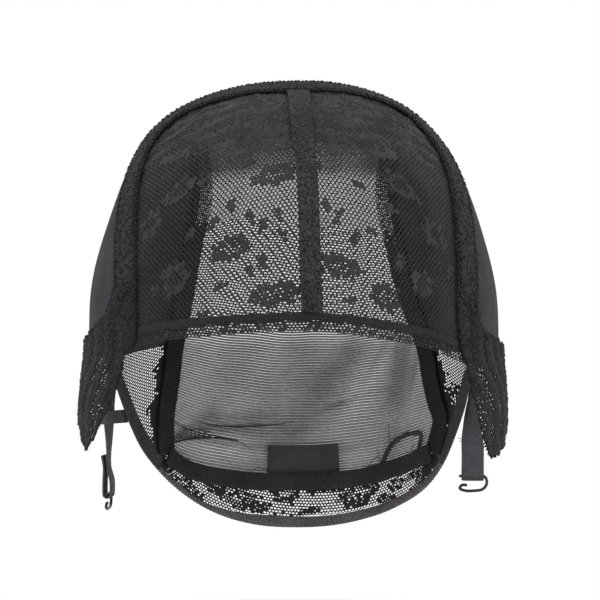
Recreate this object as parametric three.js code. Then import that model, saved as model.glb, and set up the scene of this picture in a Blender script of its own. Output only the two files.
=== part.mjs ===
import * as THREE from 'three';
import { mergeVertices } from 'three/addons/utils/BufferGeometryUtils.js';

// A lace wig cap, held up as a head holds it, with its front over the forehead.
// Millimetres, +Z up, the face opening towards -Y.
// The origin is the inside of the crown, where the head carries the cap.

// Head form, the inside of the cloth, about the middle of the head
const half_width = 77.2;
const front_depth = 92;
const back_depth = 96;
const crown_height = 87;
const drop_height = 190;
const plan_roundness = 2.1;
const rise_roundness = 2.15;
const side_shaping = 2.4;
const fold_height = 1.8;

// Thickness of the cloth, ribbons and wire
const cloth_wall = 1.0;
const elastic_wall = 1.2;
const ribbon_wall = 0.9;
const label_wall = 0.6;
const strap_wall = 0.9;
const wire_thickness = 1.2;

// Clearance side by side in the cloth, and between one layer and the next
const seam_gap = 0.7;
const layer_gap = 0.35;
const inner_gap = 0.65;

// Widths and lengths of ribbons, edges and straps
const front_hem_width = 6.5;
const ear_edge_width = 7;
const nape_hem_width = 5;
const nape_band_width = 7.4;
const centre_ribbon_width = 8.6;
const seam_band_width = 14.5;
const back_ribbon_width = 9.6;
const label_width = 31;
const label_height = 13.3;
const label_tuck = 1.5;
const nape_loop_width = 2;
const left_tab_flare = 3.6;
const right_tab_flare = 2.8;
const keeper_end = 1.6;
const keeper_height = 5.3;
const strap_width = 10.3;
const left_strap_length = 47;
const right_strap_length = 38.4;
const left_strap_clearance = 0.6;
const right_strap_clearance = 1.4;
const strap_end_length = 4.6;
const strap_end_lift = 0.8;
const hook_width = 11;
const hook_drop = 5.6;

// Directions from the middle of the head, in degrees.
// turn: 0 at the forehead, 90 at the right ear, 180 at the back. fall: 0 at the crown.

// The cap's lower rim, once round: forehead, left ear, nape, right ear
const rim_rows = [
  { turn: 3.6, fall: 93.9 },
  { turn: -7.2, fall: 94.2 },
  { turn: -16.1, fall: 94.8 },
  { turn: -26.1, fall: 95.7 },
  { turn: -35.1, fall: 97.0 },
  { turn: -44.4, fall: 99.0 },
  { turn: -62, fall: 100.8 },
  { turn: -80, fall: 101.2 },
  { turn: -97, fall: 101.5 },
  { turn: -109, fall: 103 },
  { turn: -117, fall: 107.5 },
  { turn: -122.1, fall: 113.2 },
  { turn: -126.6, fall: 118.6 },
  { turn: -131.8, fall: 123.6 },
  { turn: -138.5, fall: 127.6 },
  { turn: -146, fall: 130.9 },
  { turn: -157, fall: 134.1 },
  { turn: -169, fall: 135.8 },
  { turn: -181.5, fall: 136.2 },
  { turn: -197, fall: 135.4 },
  { turn: -209, fall: 133.7 },
  { turn: -220.5, fall: 130.6 },
  { turn: -227, fall: 126.6 },
  { turn: -232, fall: 121 },
  { turn: -236.1, fall: 115.3 },
  { turn: -240, fall: 108.5 },
  { turn: -249, fall: 104 },
  { turn: -263, fall: 102 },
  { turn: -280, fall: 102 },
  { turn: -297, fall: 102.6 },
  { turn: -314.5, fall: 101.8 },
  { turn: -327.6, fall: 98.1 },
  { turn: -338.6, fall: 96.0 },
  { turn: -347.7, fall: 94.6 },
];

// Where one edge of the rim ends and the next begins
const left_front_turn = -45;
const left_nape_turn = -138.5;
const right_nape_turn = -226.5;
const right_front_turn = -315;
const left_net_turn = -118;
const right_net_turn = -242;

// The seam from ear to ear over the top of the head, between its two ends on the rim
const seam_rows = [
  { turn: -43.5, fall: 87.5 },
  { turn: -45.3, fall: 77 },
  { turn: -49.6, fall: 66.5 },
  { turn: -56, fall: 56 },
  { turn: -62, fall: 45 },
  { turn: -60, fall: 34 },
  { turn: -38, fall: 25.5 },
  { turn: 0, fall: 22.3 },
  { turn: 38, fall: 22.5 },
  { turn: 63, fall: 31.5 },
  { turn: 63, fall: 43 },
  { turn: 58.5, fall: 53 },
  { turn: 53, fall: 63 },
  { turn: 49, fall: 72 },
  { turn: 47.2, fall: 81 },
  { turn: 45.8, fall: 90 },
];

// Places along the seam, as shares of its length from the left
const left_shoulder_share = 0.3;
const right_shoulder_share = 0.7;
const left_ribbon_share = 0.37;
const right_ribbon_share = 0.63;
const centre_ribbon_share = 0.495;
const left_band_share = 0.062;
const right_band_share = 0.952;

// Down the middle of the forehead, between the seam and the hem
const centre_rows = [
  { turn: 2.7, fall: 44.4, width: 0.92 },
  { turn: 3.3, fall: 57, width: 0.86 },
  { turn: 3.5, fall: 68, width: 0.83 },
  { turn: 3.6, fall: 80, width: 0.85 },
];
const hem_centre_turn = 4;

// Down the back on each side, between the seam and the nape
const left_back_rows = [
  { turn: -119, fall: 31 },
  { turn: -139, fall: 42 },
  { turn: -151, fall: 59.6 },
  { turn: -150.8, fall: 74 },
  { turn: -149.6, fall: 85 },
  { turn: -146.2, fall: 98.6 },
  { turn: -144.5, fall: 107.4 },
  { turn: -142, fall: 117.1 },
];
const right_back_rows = [
  { turn: 119, fall: 31 },
  { turn: 139, fall: 42 },
  { turn: 151.3, fall: 59.6 },
  { turn: 151, fall: 75 },
  { turn: 148.6, fall: 86 },
  { turn: 142.3, fall: 98.7 },
  { turn: 139.6, fall: 107.7 },
  { turn: 137.4, fall: 112.7 },
  { turn: 134.6, fall: 117.5 },
];
const net_top_share = 0.8;

// The seam across the nape, between the two ear edges
const nape_rows = [
  { turn: -146.5, fall: 126.6 },
  { turn: -153, fall: 127.6 },
  { turn: -163, fall: 128.2 },
  { turn: -181.5, fall: 128.4 },
  { turn: -195, fall: 128.1 },
  { turn: -208.5, fall: 126.8 },
  { turn: -218, fall: 125.3 },
];

// Widths of the nape's hem from left to right, as shares of its full width
const nape_hem_rows = [
  { width: 0.4 },
  { width: 0.42 },
  { width: 0.95 },
  { width: 0.85 },
  { width: 0.72 },
  { width: 0.6 },
];

// Ear tabs: front edge, upper edge and rear edge, each between its corners
const left_tab = {
  front: [
    { turn: -39.3, fall: 95.5 },
    { turn: -42.4, fall: 98.9 },
    { turn: -44, fall: 103.6 },
    { turn: -47.5, fall: 110 },
    { turn: -54.7, fall: 117.2 },
  ],
  tip: { turn: -66, fall: 122.6 },
  upper: [
    { turn: -52.8, fall: 89.6 },
    { turn: -65, fall: 94.6 },
  ],
  rear_corner: { turn: -90, fall: 98.7 },
  rear: [
    { turn: -88, fall: 105 },
    { turn: -84, fall: 113 },
    { turn: -76, fall: 119.6 },
  ],
};
const right_tab = {
  front: [
    { turn: 42.5, fall: 97.3 },
    { turn: 44.4, fall: 101.8 },
    { turn: 47.6, fall: 110.1 },
    { turn: 50, fall: 115 },
    { turn: 54, fall: 121 },
  ],
  tip: { turn: 58.6, fall: 123.2 },
  upper: [
    { turn: 52.6, fall: 93.2 },
    { turn: 66, fall: 97 },
  ],
  rear_corner: { turn: 90, fall: 99.9 },
  rear: [
    { turn: 88, fall: 106 },
    { turn: 84.5, fall: 114 },
    { turn: 78, fall: 120.4 },
    { turn: 67, fall: 123.2 },
  ],
};

// Where the sides lie flatter or fuller than the form, and the main folds. along and across
// are spreads in degrees, lie is a fold's slope from level, and lift a share of the height.
const side_rows = [
  { turn: -90, fall: 37, along: 24, across: 13, lie: 0, lift: 0.8 },
  { turn: 90, fall: 30, along: 20, across: 11, lie: 0, lift: 0.4 },
  { turn: -90, fall: 64, along: 30, across: 16, lie: 0, lift: -1 },
  { turn: 90, fall: 66, along: 30, across: 17, lie: 0, lift: -1.05 },
];
const fold_rows = [
  { turn: -164, fall: 116.8, along: 15, across: 2.6, lie: 0, lift: 0.55 },
  { turn: -159, fall: 121.4, along: 9, across: 2.6, lie: -8, lift: -0.6 },
  { turn: 173, fall: 108, along: 13, across: 3.6, lie: 55, lift: 0.6 },
  { turn: 163, fall: 110, along: 12, across: 3.4, lie: 58, lift: -0.5 },
  { turn: 152, fall: 104, along: 14, across: 3.4, lie: 84, lift: 0.8 },
  { turn: -36, fall: 47, along: 9, across: 3.6, lie: 78, lift: 0.5 },
  { turn: -20, fall: 36, along: 8, across: 3.6, lie: 84, lift: 0.5 },
];

// Label and nape loop
const label_centre_turn = 177.5;
const loop_rows = [
  { turn: 152.8, fall: 121.9 },
  { turn: 149.5, fall: 120.4 },
  { turn: 145.5, fall: 119.8 },
  { turn: 142.4, fall: 120.2 },
];
const loop_start_share = 0.77;
const loop_end_share = 0.93;

// Straps: drop is a share of the strap's length, out a share of its width away from the
// head, and face the angle in degrees between its width and the view from the front.
const left_strap_turn = -118.5;
const right_strap_turn = -239;
const left_strap_rows = [
  { drop: 0, out: 0, face: 72 },
  { drop: 0.2, out: 0.14, face: 69 },
  { drop: 0.35, out: 0.15, face: 71 },
  { drop: 0.53, out: 0.14, face: 80 },
  { drop: 0.66, out: 0.15, face: 86 },
  { drop: 0.77, out: 0.16, face: 84 },
];
const right_strap_rows = [
  { drop: 0, out: 0, face: 84 },
  { drop: 0.2, out: -0.05, face: 78 },
  { drop: 0.34, out: -0.06, face: 64 },
  { drop: 0.5, out: -0.05, face: 46 },
  { drop: 0.66, out: -0.03, face: 20 },
  { drop: 0.78, out: -0.02, face: 8 },
];
const strap_taper = 0.82;
const left_strap_bow = 1.4;
const right_strap_bow = 0.9;
const loop_turns = 6;
const keeper_row = 2;
const keeper_turn = -126.3;
const strap_steps = 34;
const keeper_steps = 12;
const hook_steps = 26;

// A hook's wire from the free end of its bar: across is a share of its width, down of its drop
const hook_rows = [
  { across: -0.5, down: 0 },
  { across: 0, down: 0 },
  { across: 0.41, down: 0 },
  { across: 0.5, down: 0.2 },
  { across: 0.5, down: 0.6 },
  { across: 0.36, down: 0.93 },
  { across: 0.08, down: 1.04 },
  { across: -0.28, down: 1.04 },
  { across: -0.47, down: 0.88 },
  { across: -0.4, down: 0.66 },
  { across: -0.2, down: 0.64 },
];

// Colours and roughness
const lace_colour = 0x3a393e;
const ribbed_colour = 0x434247;
const mesh_colour = 0x6e6d72;
const ribbon_colour = 0x363638;
const elastic_colour = 0x332f31;
const label_colour = 0x353438;
const strap_colour = 0x454447;
const wire_colour = 0x1c1c1e;
const cloth_roughness = 0.9;
const wire_roughness = 0.35;

const cap = new THREE.Group();
cap.position.z = -crown_height;

function towards({ turn, fall }) {
  const around = THREE.MathUtils.degToRad(turn);
  const down = THREE.MathUtils.degToRad(fall);
  const level = Math.sin(down);
  return new THREE.Vector3(level * Math.sin(around), -level * Math.cos(around), Math.cos(down));
}

function turnOf(direction) {
  return THREE.MathUtils.radToDeg(Math.atan2(direction.x, -direction.y));
}

function fallOf(direction) {
  return THREE.MathUtils.radToDeg(Math.acos(THREE.MathUtils.clamp(direction.z, -1, 1)));
}

// How far one smooth swelling or fold lifts the cloth in a direction
function swelling(row, height, turn, fall) {
  const full_turn = 360;
  const half_turn = 180;
  const apart = ((turn - row.turn + half_turn + full_turn) % full_turn + full_turn) % full_turn;
  const sideways = (apart - half_turn) * Math.sin(THREE.MathUtils.degToRad(row.fall));
  const down = fall - row.fall;
  const lie = THREE.MathUtils.degToRad(row.lie);
  const along = (sideways * Math.cos(lie) + down * Math.sin(lie)) / row.along;
  const across = (down * Math.cos(lie) - sideways * Math.sin(lie)) / row.across;
  return height * row.lift * Math.exp(-along * along - across * across);
}

function reach(direction) {
  const depth = direction.y < 0 ? front_depth : back_depth;
  const height = direction.z > 0 ? crown_height : drop_height;
  const plan = Math.abs(direction.x / half_width) ** plan_roundness
    + Math.abs(direction.y / depth) ** plan_roundness;
  const whole = plan ** (rise_roundness / plan_roundness)
    + Math.abs(direction.z / height) ** rise_roundness;
  const turn = turnOf(direction);
  const fall = fallOf(direction);
  let lift = 0;
  for (const row of side_rows) {
    lift += swelling(row, side_shaping, turn, fall);
  }
  for (const row of fold_rows) {
    lift += swelling(row, fold_height, turn, fall);
  }
  return whole ** (-1 / rise_roundness) + lift;
}

function formPoint(direction) {
  const unit = direction.clone().normalize();
  return unit.multiplyScalar(reach(unit));
}

function outward(direction) {
  const step = 0.006;
  const helper = Math.abs(direction.z) < 0.9 ? new THREE.Vector3(0, 0, 1) : new THREE.Vector3(1, 0, 0);
  const side = helper.cross(direction).normalize();
  const up = direction.clone().cross(side);
  const ahead = formPoint(direction.clone().addScaledVector(side, step));
  const behind = formPoint(direction.clone().addScaledVector(side, -step));
  const above = formPoint(direction.clone().addScaledVector(up, step));
  const below = formPoint(direction.clone().addScaledVector(up, -step));
  return ahead.sub(behind).cross(above.sub(below)).normalize();
}

// A point of the cloth at a height above the form
function clothPoint(direction, height) {
  return formPoint(direction).addScaledVector(outward(direction), height);
}

// Smooth lines over the head, kept as directions
function line(directions, closed = false) {
  const curve = new THREE.CatmullRomCurve3(directions, closed, 'centripetal');
  curve.arcLengthDivisions = 400;
  return (share) => curve.getPointAt(THREE.MathUtils.clamp(share, 0, 1)).normalize();
}

function stretch(whole, from, to) {
  return (share) => whole(from + (to - from) * share);
}

function lineThrough(first, rows, last) {
  return line([first, ...rows.map(towards), last]);
}

// The place on a line, and the sideways direction in the cloth to the right of its way
function station(path, share) {
  const step = 0.002;
  const direction = path(share);
  const before = formPoint(path(Math.max(share - step, 0)));
  const after = formPoint(path(Math.min(share + step, 1)));
  const side = after.sub(before).cross(outward(direction)).normalize();
  return { point: formPoint(direction), side };
}

// A direction some millimetres to the right of a line
function beside(path, share, distance) {
  const { point, side } = station(path, share);
  return point.addScaledVector(side, distance).normalize();
}

function shifted(path, distance, width = () => 1) {
  const rows = 40;
  const directions = [];
  for (let i = 0; i <= rows; i += 1) {
    directions.push(beside(path, i / rows, distance * width(i / rows)));
  }
  return line(directions);
}

// The width at a share of a line, from a table of widths at even steps along it
function widthFrom(rows) {
  return (share) => {
    const place = share * (rows.length - 1);
    const row = Math.min(Math.floor(place), rows.length - 2);
    return THREE.MathUtils.lerp(rows[row].width, rows[row + 1].width, place - row);
  };
}

function lengthOf(path) {
  const steps = 24;
  let total = 0;
  for (let i = 0; i < steps; i += 1) {
    total += formPoint(path(i / steps)).distanceTo(formPoint(path((i + 1) / steps)));
  }
  return total;
}

// A closed wall between two grids of points, faces outwards
function wall(outer, inner) {
  const rows = outer.length;
  const columns = outer[0].length;
  const points = [...outer.flat(), ...inner.flat()];
  const top = (i, j) => i * columns + j;
  const bottom = (i, j) => rows * columns + i * columns + j;
  const faces = [];
  const quad = (a, b, c, d) => faces.push(a, b, c, a, c, d);
  for (let i = 0; i < rows - 1; i += 1) {
    for (let j = 0; j < columns - 1; j += 1) {
      quad(top(i, j), top(i + 1, j), top(i + 1, j + 1), top(i, j + 1));
      quad(bottom(i, j), bottom(i, j + 1), bottom(i + 1, j + 1), bottom(i + 1, j));
    }
    quad(top(i, 0), bottom(i, 0), bottom(i + 1, 0), top(i + 1, 0));
    const last = columns - 1;
    quad(top(i, last), top(i + 1, last), bottom(i + 1, last), bottom(i, last));
  }
  const end = rows - 1;
  for (let j = 0; j < columns - 1; j += 1) {
    quad(top(0, j), top(0, j + 1), bottom(0, j + 1), bottom(0, j));
    quad(top(end, j), bottom(end, j), bottom(end, j + 1), top(end, j + 1));
  }
  return closedGeometry(points, faces);
}

function closedGeometry(points, faces) {
  let volume = 0;
  for (let i = 0; i < faces.length; i += 3) {
    const [a, b, c] = [points[faces[i]], points[faces[i + 1]], points[faces[i + 2]]];
    volume += a.dot(b.clone().cross(c));
  }
  const index = volume < 0 ? faces.reverse() : faces;
  const geometry = new THREE.BufferGeometry();
  const values = points.flatMap((point) => point.toArray());
  geometry.setAttribute('position', new THREE.Float32BufferAttribute(values, 3));
  geometry.setIndex(index);
  geometry.computeVertexNormals();
  return geometry;
}

// Cloth between four lines: top and bottom run across, left and right run down
function panel({ top, bottom, left, right, across, down, low, high }) {
  const corner = { a: top(0), b: top(1), c: bottom(0), d: bottom(1) };
  const blend = (u, v) => new THREE.Vector3()
    .addScaledVector(top(u), 1 - v)
    .addScaledVector(bottom(u), v)
    .addScaledVector(left(v), 1 - u)
    .addScaledVector(right(v), u)
    .addScaledVector(corner.a, -(1 - u) * (1 - v))
    .addScaledVector(corner.b, -u * (1 - v))
    .addScaledVector(corner.c, -(1 - u) * v)
    .addScaledVector(corner.d, -u * v)
    .normalize();
  const outer = [];
  const inner = [];
  for (let i = 0; i <= down; i += 1) {
    const row_out = [];
    const row_in = [];
    for (let j = 0; j <= across; j += 1) {
      const wide = lengthOf((share) => blend(share, i / down));
      const tall = lengthOf((share) => blend(j / across, share));
      const u_edge = seam_gap / 2 / wide;
      const v_edge = seam_gap / 2 / tall;
      const u = u_edge + (1 - 2 * u_edge) * j / across;
      const v = v_edge + (1 - 2 * v_edge) * i / down;
      const direction = blend(u, v);
      row_out.push(clothPoint(direction, high(direction)));
      row_in.push(clothPoint(direction, low(direction)));
    }
    outer.push(row_out);
    inner.push(row_in);
  }
  return wall(outer, inner);
}

// A strip along a line, from one distance beside it to another
function strip({ path, from, to, steps, right, left, parts = 1, low, high, width = () => 1 }) {
  const ends = seam_gap / 2 / lengthOf(path);
  const start = from + Math.sign(to - from) * ends;
  const finish = to - Math.sign(to - from) * ends;
  const outer = [];
  const inner = [];
  for (let i = 0; i <= steps; i += 1) {
    const share = start + (finish - start) * i / steps;
    const row_out = [];
    const row_in = [];
    for (let j = 0; j <= parts; j += 1) {
      const distance = (left + (right - left) * j / parts) * width(i / steps);
      const direction = beside(path, share, distance);
      row_out.push(clothPoint(direction, high(direction)));
      row_in.push(clothPoint(direction, low(direction)));
    }
    outer.push(row_out);
    inner.push(row_in);
  }
  return wall(outer, inner);
}

function add(name, geometry, color, roughness = cloth_roughness, metalness = 0) {
  const material = new THREE.MeshStandardMaterial({ color, roughness, metalness });
  const mesh = new THREE.Mesh(geometry, material);
  mesh.name = name;
  cap.add(mesh);
  return mesh;
}

const level = (height) => () => height;
const smooth = (value) => THREE.MathUtils.smoothstep(value, 0, 1);

// Heights of the layers above the form
const on_form = level(0);
const cloth_top = level(cloth_wall);
const elastic_top = level(elastic_wall);
const ribbon_bottom = cloth_wall + layer_gap;
const tab_bottom = Math.max(cloth_wall, elastic_wall) + layer_gap;

// The rim and the places on it
const rim = line(rim_rows.map(towards), true);
const rimAround = (share) => rim(((share % 1) + 1) % 1);

function shareAtTurn(path, turn) {
  const samples = 1440;
  const full_turn = 360;
  const half_turn = 180;
  let best = 0;
  let closest = full_turn;
  for (let i = 0; i <= samples; i += 1) {
    const here = turnOf(path(i / samples));
    const apart = Math.abs((here - turn + half_turn + full_turn) % full_turn - half_turn);
    if (apart < closest) {
      closest = apart;
      best = i / samples;
    }
  }
  return best;
}

// The same line, led to end at a given place
function endingAt(path, last) {
  const correction = last.clone().sub(path(1));
  return (share) => path(share).addScaledVector(correction, share).normalize();
}

const left_front = shareAtTurn(rim, left_front_turn);
const left_nape = shareAtTurn(rim, left_nape_turn);
const right_nape = shareAtTurn(rim, right_nape_turn);
const right_front = shareAtTurn(rim, right_front_turn);

// The cloth lies to the right of the rim from the forehead past the left ear to the nape
const front_rim = stretch(rimAround, left_front, right_front - 1);
const left_rim = stretch(rim, left_front, left_nape);
const right_rim = stretch(rim, right_front, right_nape);
const nape_rim = stretch(rim, left_nape, right_nape);
const hem_inner = shifted(front_rim, -front_hem_width);
const left_ear_inner = shifted(left_rim, ear_edge_width);
const right_ear_inner = shifted(right_rim, -ear_edge_width);
const nape_hem_inner = shifted(nape_rim, nape_hem_width, widthFrom(nape_hem_rows));

const seam = lineThrough(left_ear_inner(0), seam_rows, right_ear_inner(0));
const nape_seam = lineThrough(left_ear_inner(1), nape_rows, right_ear_inner(1));
const hem_middle = shareAtTurn(hem_inner, hem_centre_turn);
const centre = lineThrough(seam(centre_ribbon_share), centre_rows, hem_inner(hem_middle));
const left_back = lineThrough(seam(left_ribbon_share), left_back_rows, nape_seam(0));
const right_back = lineThrough(seam(right_ribbon_share), right_back_rows, nape_seam(1));

// The front lace, in two halves that meet under the centre ribbon
function frontLace(shoulder, seam_end, hem_end) {
  return panel({
    top: stretch(seam, centre_ribbon_share, shoulder),
    bottom: stretch(hem_inner, hem_middle, hem_end),
    left: centre,
    right: endingAt(stretch(seam, shoulder, seam_end), hem_inner(hem_end)),
    across: 12,
    down: 14,
    low: on_form,
    high: cloth_top,
  });
}

add('front_lace_left', frontLace(left_shoulder_share, 0, 0), lace_colour);
add('front_lace_right', frontLace(right_shoulder_share, 1, 1), lace_colour);
add('front_hem', strip({
  path: front_rim,
  from: 0,
  to: 1,
  steps: 40,
  left: -front_hem_width + seam_gap / 2,
  right: 0,
  low: on_form,
  high: cloth_top,
}), lace_colour);

// The stretch sides over the ears, and the net behind each ear below them
function sideCloth({ back, ear_inner, ribbon_share, shoulder, seam_end, net_turn }) {
  const samples = 16;
  const corner = shareAtTurn(ear_inner, net_turn);
  const directions = [back(net_top_share), back(net_top_share).add(ear_inner(corner)).normalize()];
  for (let i = 0; i <= samples; i += 1) {
    directions.push(ear_inner(corner * (1 - i / samples)));
  }
  const low_line = line(directions);
  const side = panel({
    top: stretch(seam, ribbon_share, shoulder),
    bottom: low_line,
    left: stretch(back, 0, net_top_share),
    right: stretch(seam, shoulder, seam_end),
    across: 12,
    down: 15,
    low: on_form,
    high: cloth_top,
  });
  const net_short_side = 0.06;
  const low_corner = corner + net_short_side;
  const net = panel({
    top: stretch(low_line, 0, shareAtTurn(low_line, net_turn)),
    bottom: stretch(ear_inner, 1, low_corner),
    left: stretch(back, net_top_share, 1),
    right: stretch(ear_inner, corner, low_corner),
    across: 9,
    down: 9,
    low: on_form,
    high: cloth_top,
  });
  return { side, net };
}

const left_cloth = sideCloth({
  back: left_back,
  ear_inner: left_ear_inner,
  ribbon_share: left_ribbon_share,
  shoulder: left_shoulder_share,
  seam_end: 0,
  net_turn: left_net_turn,
});
const right_cloth = sideCloth({
  back: right_back,
  ear_inner: right_ear_inner,
  ribbon_share: right_ribbon_share,
  shoulder: right_shoulder_share,
  seam_end: 1,
  net_turn: right_net_turn,
});
add('side_panel_left', left_cloth.side, ribbed_colour);
add('side_panel_right', right_cloth.side, ribbed_colour);
add('ear_net_left', left_cloth.net, lace_colour);
add('ear_net_right', right_cloth.net, lace_colour);

// The back, down to the seam across the nape, and the lace below that
add('back_panel', panel({
  top: stretch(seam, left_ribbon_share, right_ribbon_share),
  bottom: nape_seam,
  left: left_back,
  right: right_back,
  across: 27,
  down: 25,
  low: on_form,
  high: cloth_top,
}), mesh_colour);
add('nape_lace', panel({
  top: nape_seam,
  bottom: nape_hem_inner,
  left: line([nape_seam(0), nape_hem_inner(0)]),
  right: line([nape_seam(1), nape_hem_inner(1)]),
  across: 30,
  down: 2,
  low: on_form,
  high: cloth_top,
}), lace_colour);

// Elastic edges round the ears and the nape
function rimEdge(path, left, right, width) {
  return strip({
    path,
    from: 0,
    to: 1,
    steps: 30,
    left,
    right,
    low: on_form,
    high: elastic_top,
    width,
  });
}

const ear_edge_reach = ear_edge_width - seam_gap / 2;
const nape_hem_reach = nape_hem_width - seam_gap / 2;
add('ear_edge_left', rimEdge(left_rim, 0, ear_edge_reach), elastic_colour);
add('ear_edge_right', rimEdge(right_rim, -ear_edge_reach, 0), elastic_colour);
add('nape_hem', rimEdge(nape_rim, 0, nape_hem_reach, widthFrom(nape_hem_rows)), elastic_colour);

// Ribbons sewn on outside: over the seam from ear to ear, and down the forehead
add('seam_band', strip({
  path: seam,
  from: left_band_share,
  to: right_band_share,
  steps: 44,
  left: -seam_band_width / 2,
  right: seam_band_width / 2,
  parts: 2,
  low: level(ribbon_bottom),
  high: level(ribbon_bottom + ribbon_wall),
}), ribbon_colour);

add('centre_ribbon', strip({
  path: centre,
  from: (seam_band_width / 2 + seam_gap / 2) / lengthOf(centre),
  to: 1 + (front_hem_width / 3) / lengthOf(centre),
  steps: 16,
  left: -centre_ribbon_width / 2,
  right: centre_ribbon_width / 2,
  parts: 2,
  low: level(ribbon_bottom),
  high: level(ribbon_bottom + ribbon_wall),
  width: widthFrom(centre_rows),
}), ribbon_colour);

// Ribbons sewn on inside, and the elastic that lies over their ends
function innerStrip({ path, from = 0, to = 1, steps, left, right, thickness, above = inner_gap }) {
  return strip({
    path,
    from,
    to,
    steps,
    left,
    right,
    low: level(-above - thickness),
    high: level(-above),
  });
}

function backRibbon(path) {
  return innerStrip({
    path,
    steps: 26,
    left: -back_ribbon_width / 2,
    right: back_ribbon_width / 2,
    thickness: ribbon_wall,
  });
}

const half_band = nape_band_width / 2;
add('back_ribbon_left', backRibbon(left_back), ribbon_colour);
add('back_ribbon_right', backRibbon(right_back), ribbon_colour);
add('nape_band', innerStrip({
  path: nape_seam,
  steps: 30,
  left: -half_band,
  right: half_band,
  thickness: elastic_wall,
  above: inner_gap + ribbon_wall + layer_gap,
}), elastic_colour);

const label_middle = shareAtTurn(nape_seam, label_centre_turn);
const label_reach = label_width / 2 / lengthOf(nape_seam);
const label_foot = half_band - label_tuck;
add('label_patch', innerStrip({
  path: nape_seam,
  from: label_middle - label_reach,
  to: label_middle + label_reach,
  steps: 8,
  left: label_foot,
  right: label_foot + label_height,
  thickness: label_wall,
}), label_colour);

const half_loop = nape_loop_width / 2;
const loop_foot = half_band - half_loop;
add('nape_loop', innerStrip({
  path: lineThrough(
    beside(nape_seam, loop_start_share, loop_foot),
    loop_rows,
    beside(nape_seam, loop_end_share, loop_foot),
  ),
  steps: 14,
  left: -half_loop,
  right: half_loop,
  thickness: ribbon_wall,
}), elastic_colour);

// Ear tabs, which hang over the edge and stand off from the head towards their tips
const flare_start_fall = 96;
const flare_full_fall = 120;

function tabHeight(base, flare) {
  return (direction) => {
    const share = (fallOf(direction) - flare_start_fall) / (flare_full_fall - flare_start_fall);
    return base + flare * smooth(share);
  };
}

function earTab(tab, band_share, flare) {
  const front_top = beside(seam, band_share, seam_band_width / 2);
  const rear_top = beside(seam, band_share, -seam_band_width / 2);
  const tip = towards(tab.tip);
  const rear_corner = towards(tab.rear_corner);
  return panel({
    top: line([front_top, seam(band_share), rear_top]),
    bottom: lineThrough(tip, [...tab.rear].reverse(), rear_corner),
    left: lineThrough(front_top, tab.front, tip),
    right: lineThrough(rear_top, tab.upper, rear_corner),
    across: 8,
    down: 9,
    low: tabHeight(tab_bottom, flare),
    high: tabHeight(tab_bottom + cloth_wall, flare),
  });
}

add('ear_tab_left', earTab(left_tab, left_band_share, left_tab_flare), lace_colour);
add('ear_tab_right', earTab(right_tab, right_band_share, right_tab_flare), lace_colour);

// A tape of even thickness through a list of places, each with a direction across it
function tape(places, steps, thickness) {
  const middle = new THREE.CatmullRomCurve3(places.map((place) => place.middle), false, 'centripetal');
  const outer = [];
  const inner = [];
  for (let i = 0; i <= steps; i += 1) {
    const at = i / steps * (places.length - 1);
    const index = Math.min(Math.floor(at), places.length - 2);
    const [before, after] = [places[index], places[index + 1]];
    const across = before.across.clone().lerp(after.across, at - index).normalize();
    const half = THREE.MathUtils.lerp(before.width, after.width, at - index) / 2;
    const centre_point = middle.getPoint(i / steps);
    const normal = across.clone().cross(middle.getTangent(i / steps)).normalize();
    const lift = normal.multiplyScalar(thickness / 2);
    const [left, right] = [across.clone().multiplyScalar(-half), across.clone().multiplyScalar(half)];
    outer.push([centre_point.clone().add(left).add(lift), centre_point.clone().add(right).add(lift)]);
    inner.push([centre_point.clone().add(left).sub(lift), centre_point.clone().add(right).sub(lift)]);
  }
  return wall(outer, inner);
}

// Wire bent through a list of places
function wire(places, steps) {
  const sides = 6;
  const same_point = 1e-4;
  const section = [];
  for (let i = 0; i < sides; i += 1) {
    const angle = i / sides * 2 * Math.PI;
    section.push(new THREE.Vector2(Math.cos(angle), Math.sin(angle)).multiplyScalar(wire_thickness / 2));
  }
  const path = new THREE.CatmullRomCurve3(places, false, 'centripetal');
  const bent = new THREE.ExtrudeGeometry(new THREE.Shape(section), { steps, extrudePath: path });
  bent.deleteAttribute('normal');
  bent.deleteAttribute('uv');
  const joined = mergeVertices(bent, same_point);
  const points = [];
  for (let i = 0; i < joined.attributes.position.count; i += 1) {
    points.push(new THREE.Vector3().fromBufferAttribute(joined.attributes.position, i));
  }
  return closedGeometry(points, Array.from(joined.index.array));
}

// A strap hangs from the ear edge and is looped round the bar of its hook
function strap({ path, turn, rows, length, bow, clearance, side }) {
  const stand_off = elastic_wall + layer_gap + strap_wall / 2 + clearance;
  const seat = beside(path, shareAtTurn(path, turn), -side * ear_edge_width / 2);
  const top = clothPoint(seat, stand_off);
  const placeAt = (row) => {
    const angle = THREE.MathUtils.degToRad(row.face);
    const shift = new THREE.Vector3(side * row.out * strap_width, 0, -row.drop * length);
    return {
      middle: top.clone().add(shift),
      across: new THREE.Vector3(Math.cos(angle), -side * Math.sin(angle), 0),
      width: strap_width * THREE.MathUtils.lerp(1, strap_taper, row.drop),
    };
  };
  const places = rows.map(placeAt);
  const stitched = places[places.length - 1];
  const { across, width } = stitched;
  const inner_face = new THREE.Vector3(across.y, -across.x, 0);
  const bar = stitched.middle.clone().setZ(top.z - length);
  const round = wire_thickness / 2 + layer_gap + strap_wall / 2;
  const layer = strap_wall + layer_gap;
  const open = stitched.middle.z - bar.z;
  const loop = (inward, up) => ({
    middle: bar.clone().addScaledVector(inner_face, inward).setZ(bar.z + up),
    across,
    width,
  });
  places.push(loop(bow, open / 2));
  for (let i = 0; i <= loop_turns; i += 1) {
    const angle = i / loop_turns * Math.PI;
    places.push(loop(round * Math.cos(angle), -round * Math.sin(angle)));
  }
  places.push(loop(-bow, open / 2));
  places.push(loop(-layer, open));
  places.push(loop(-layer - strap_end_lift, open + strap_end_length));
  return { places, bar, across };
}

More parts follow.
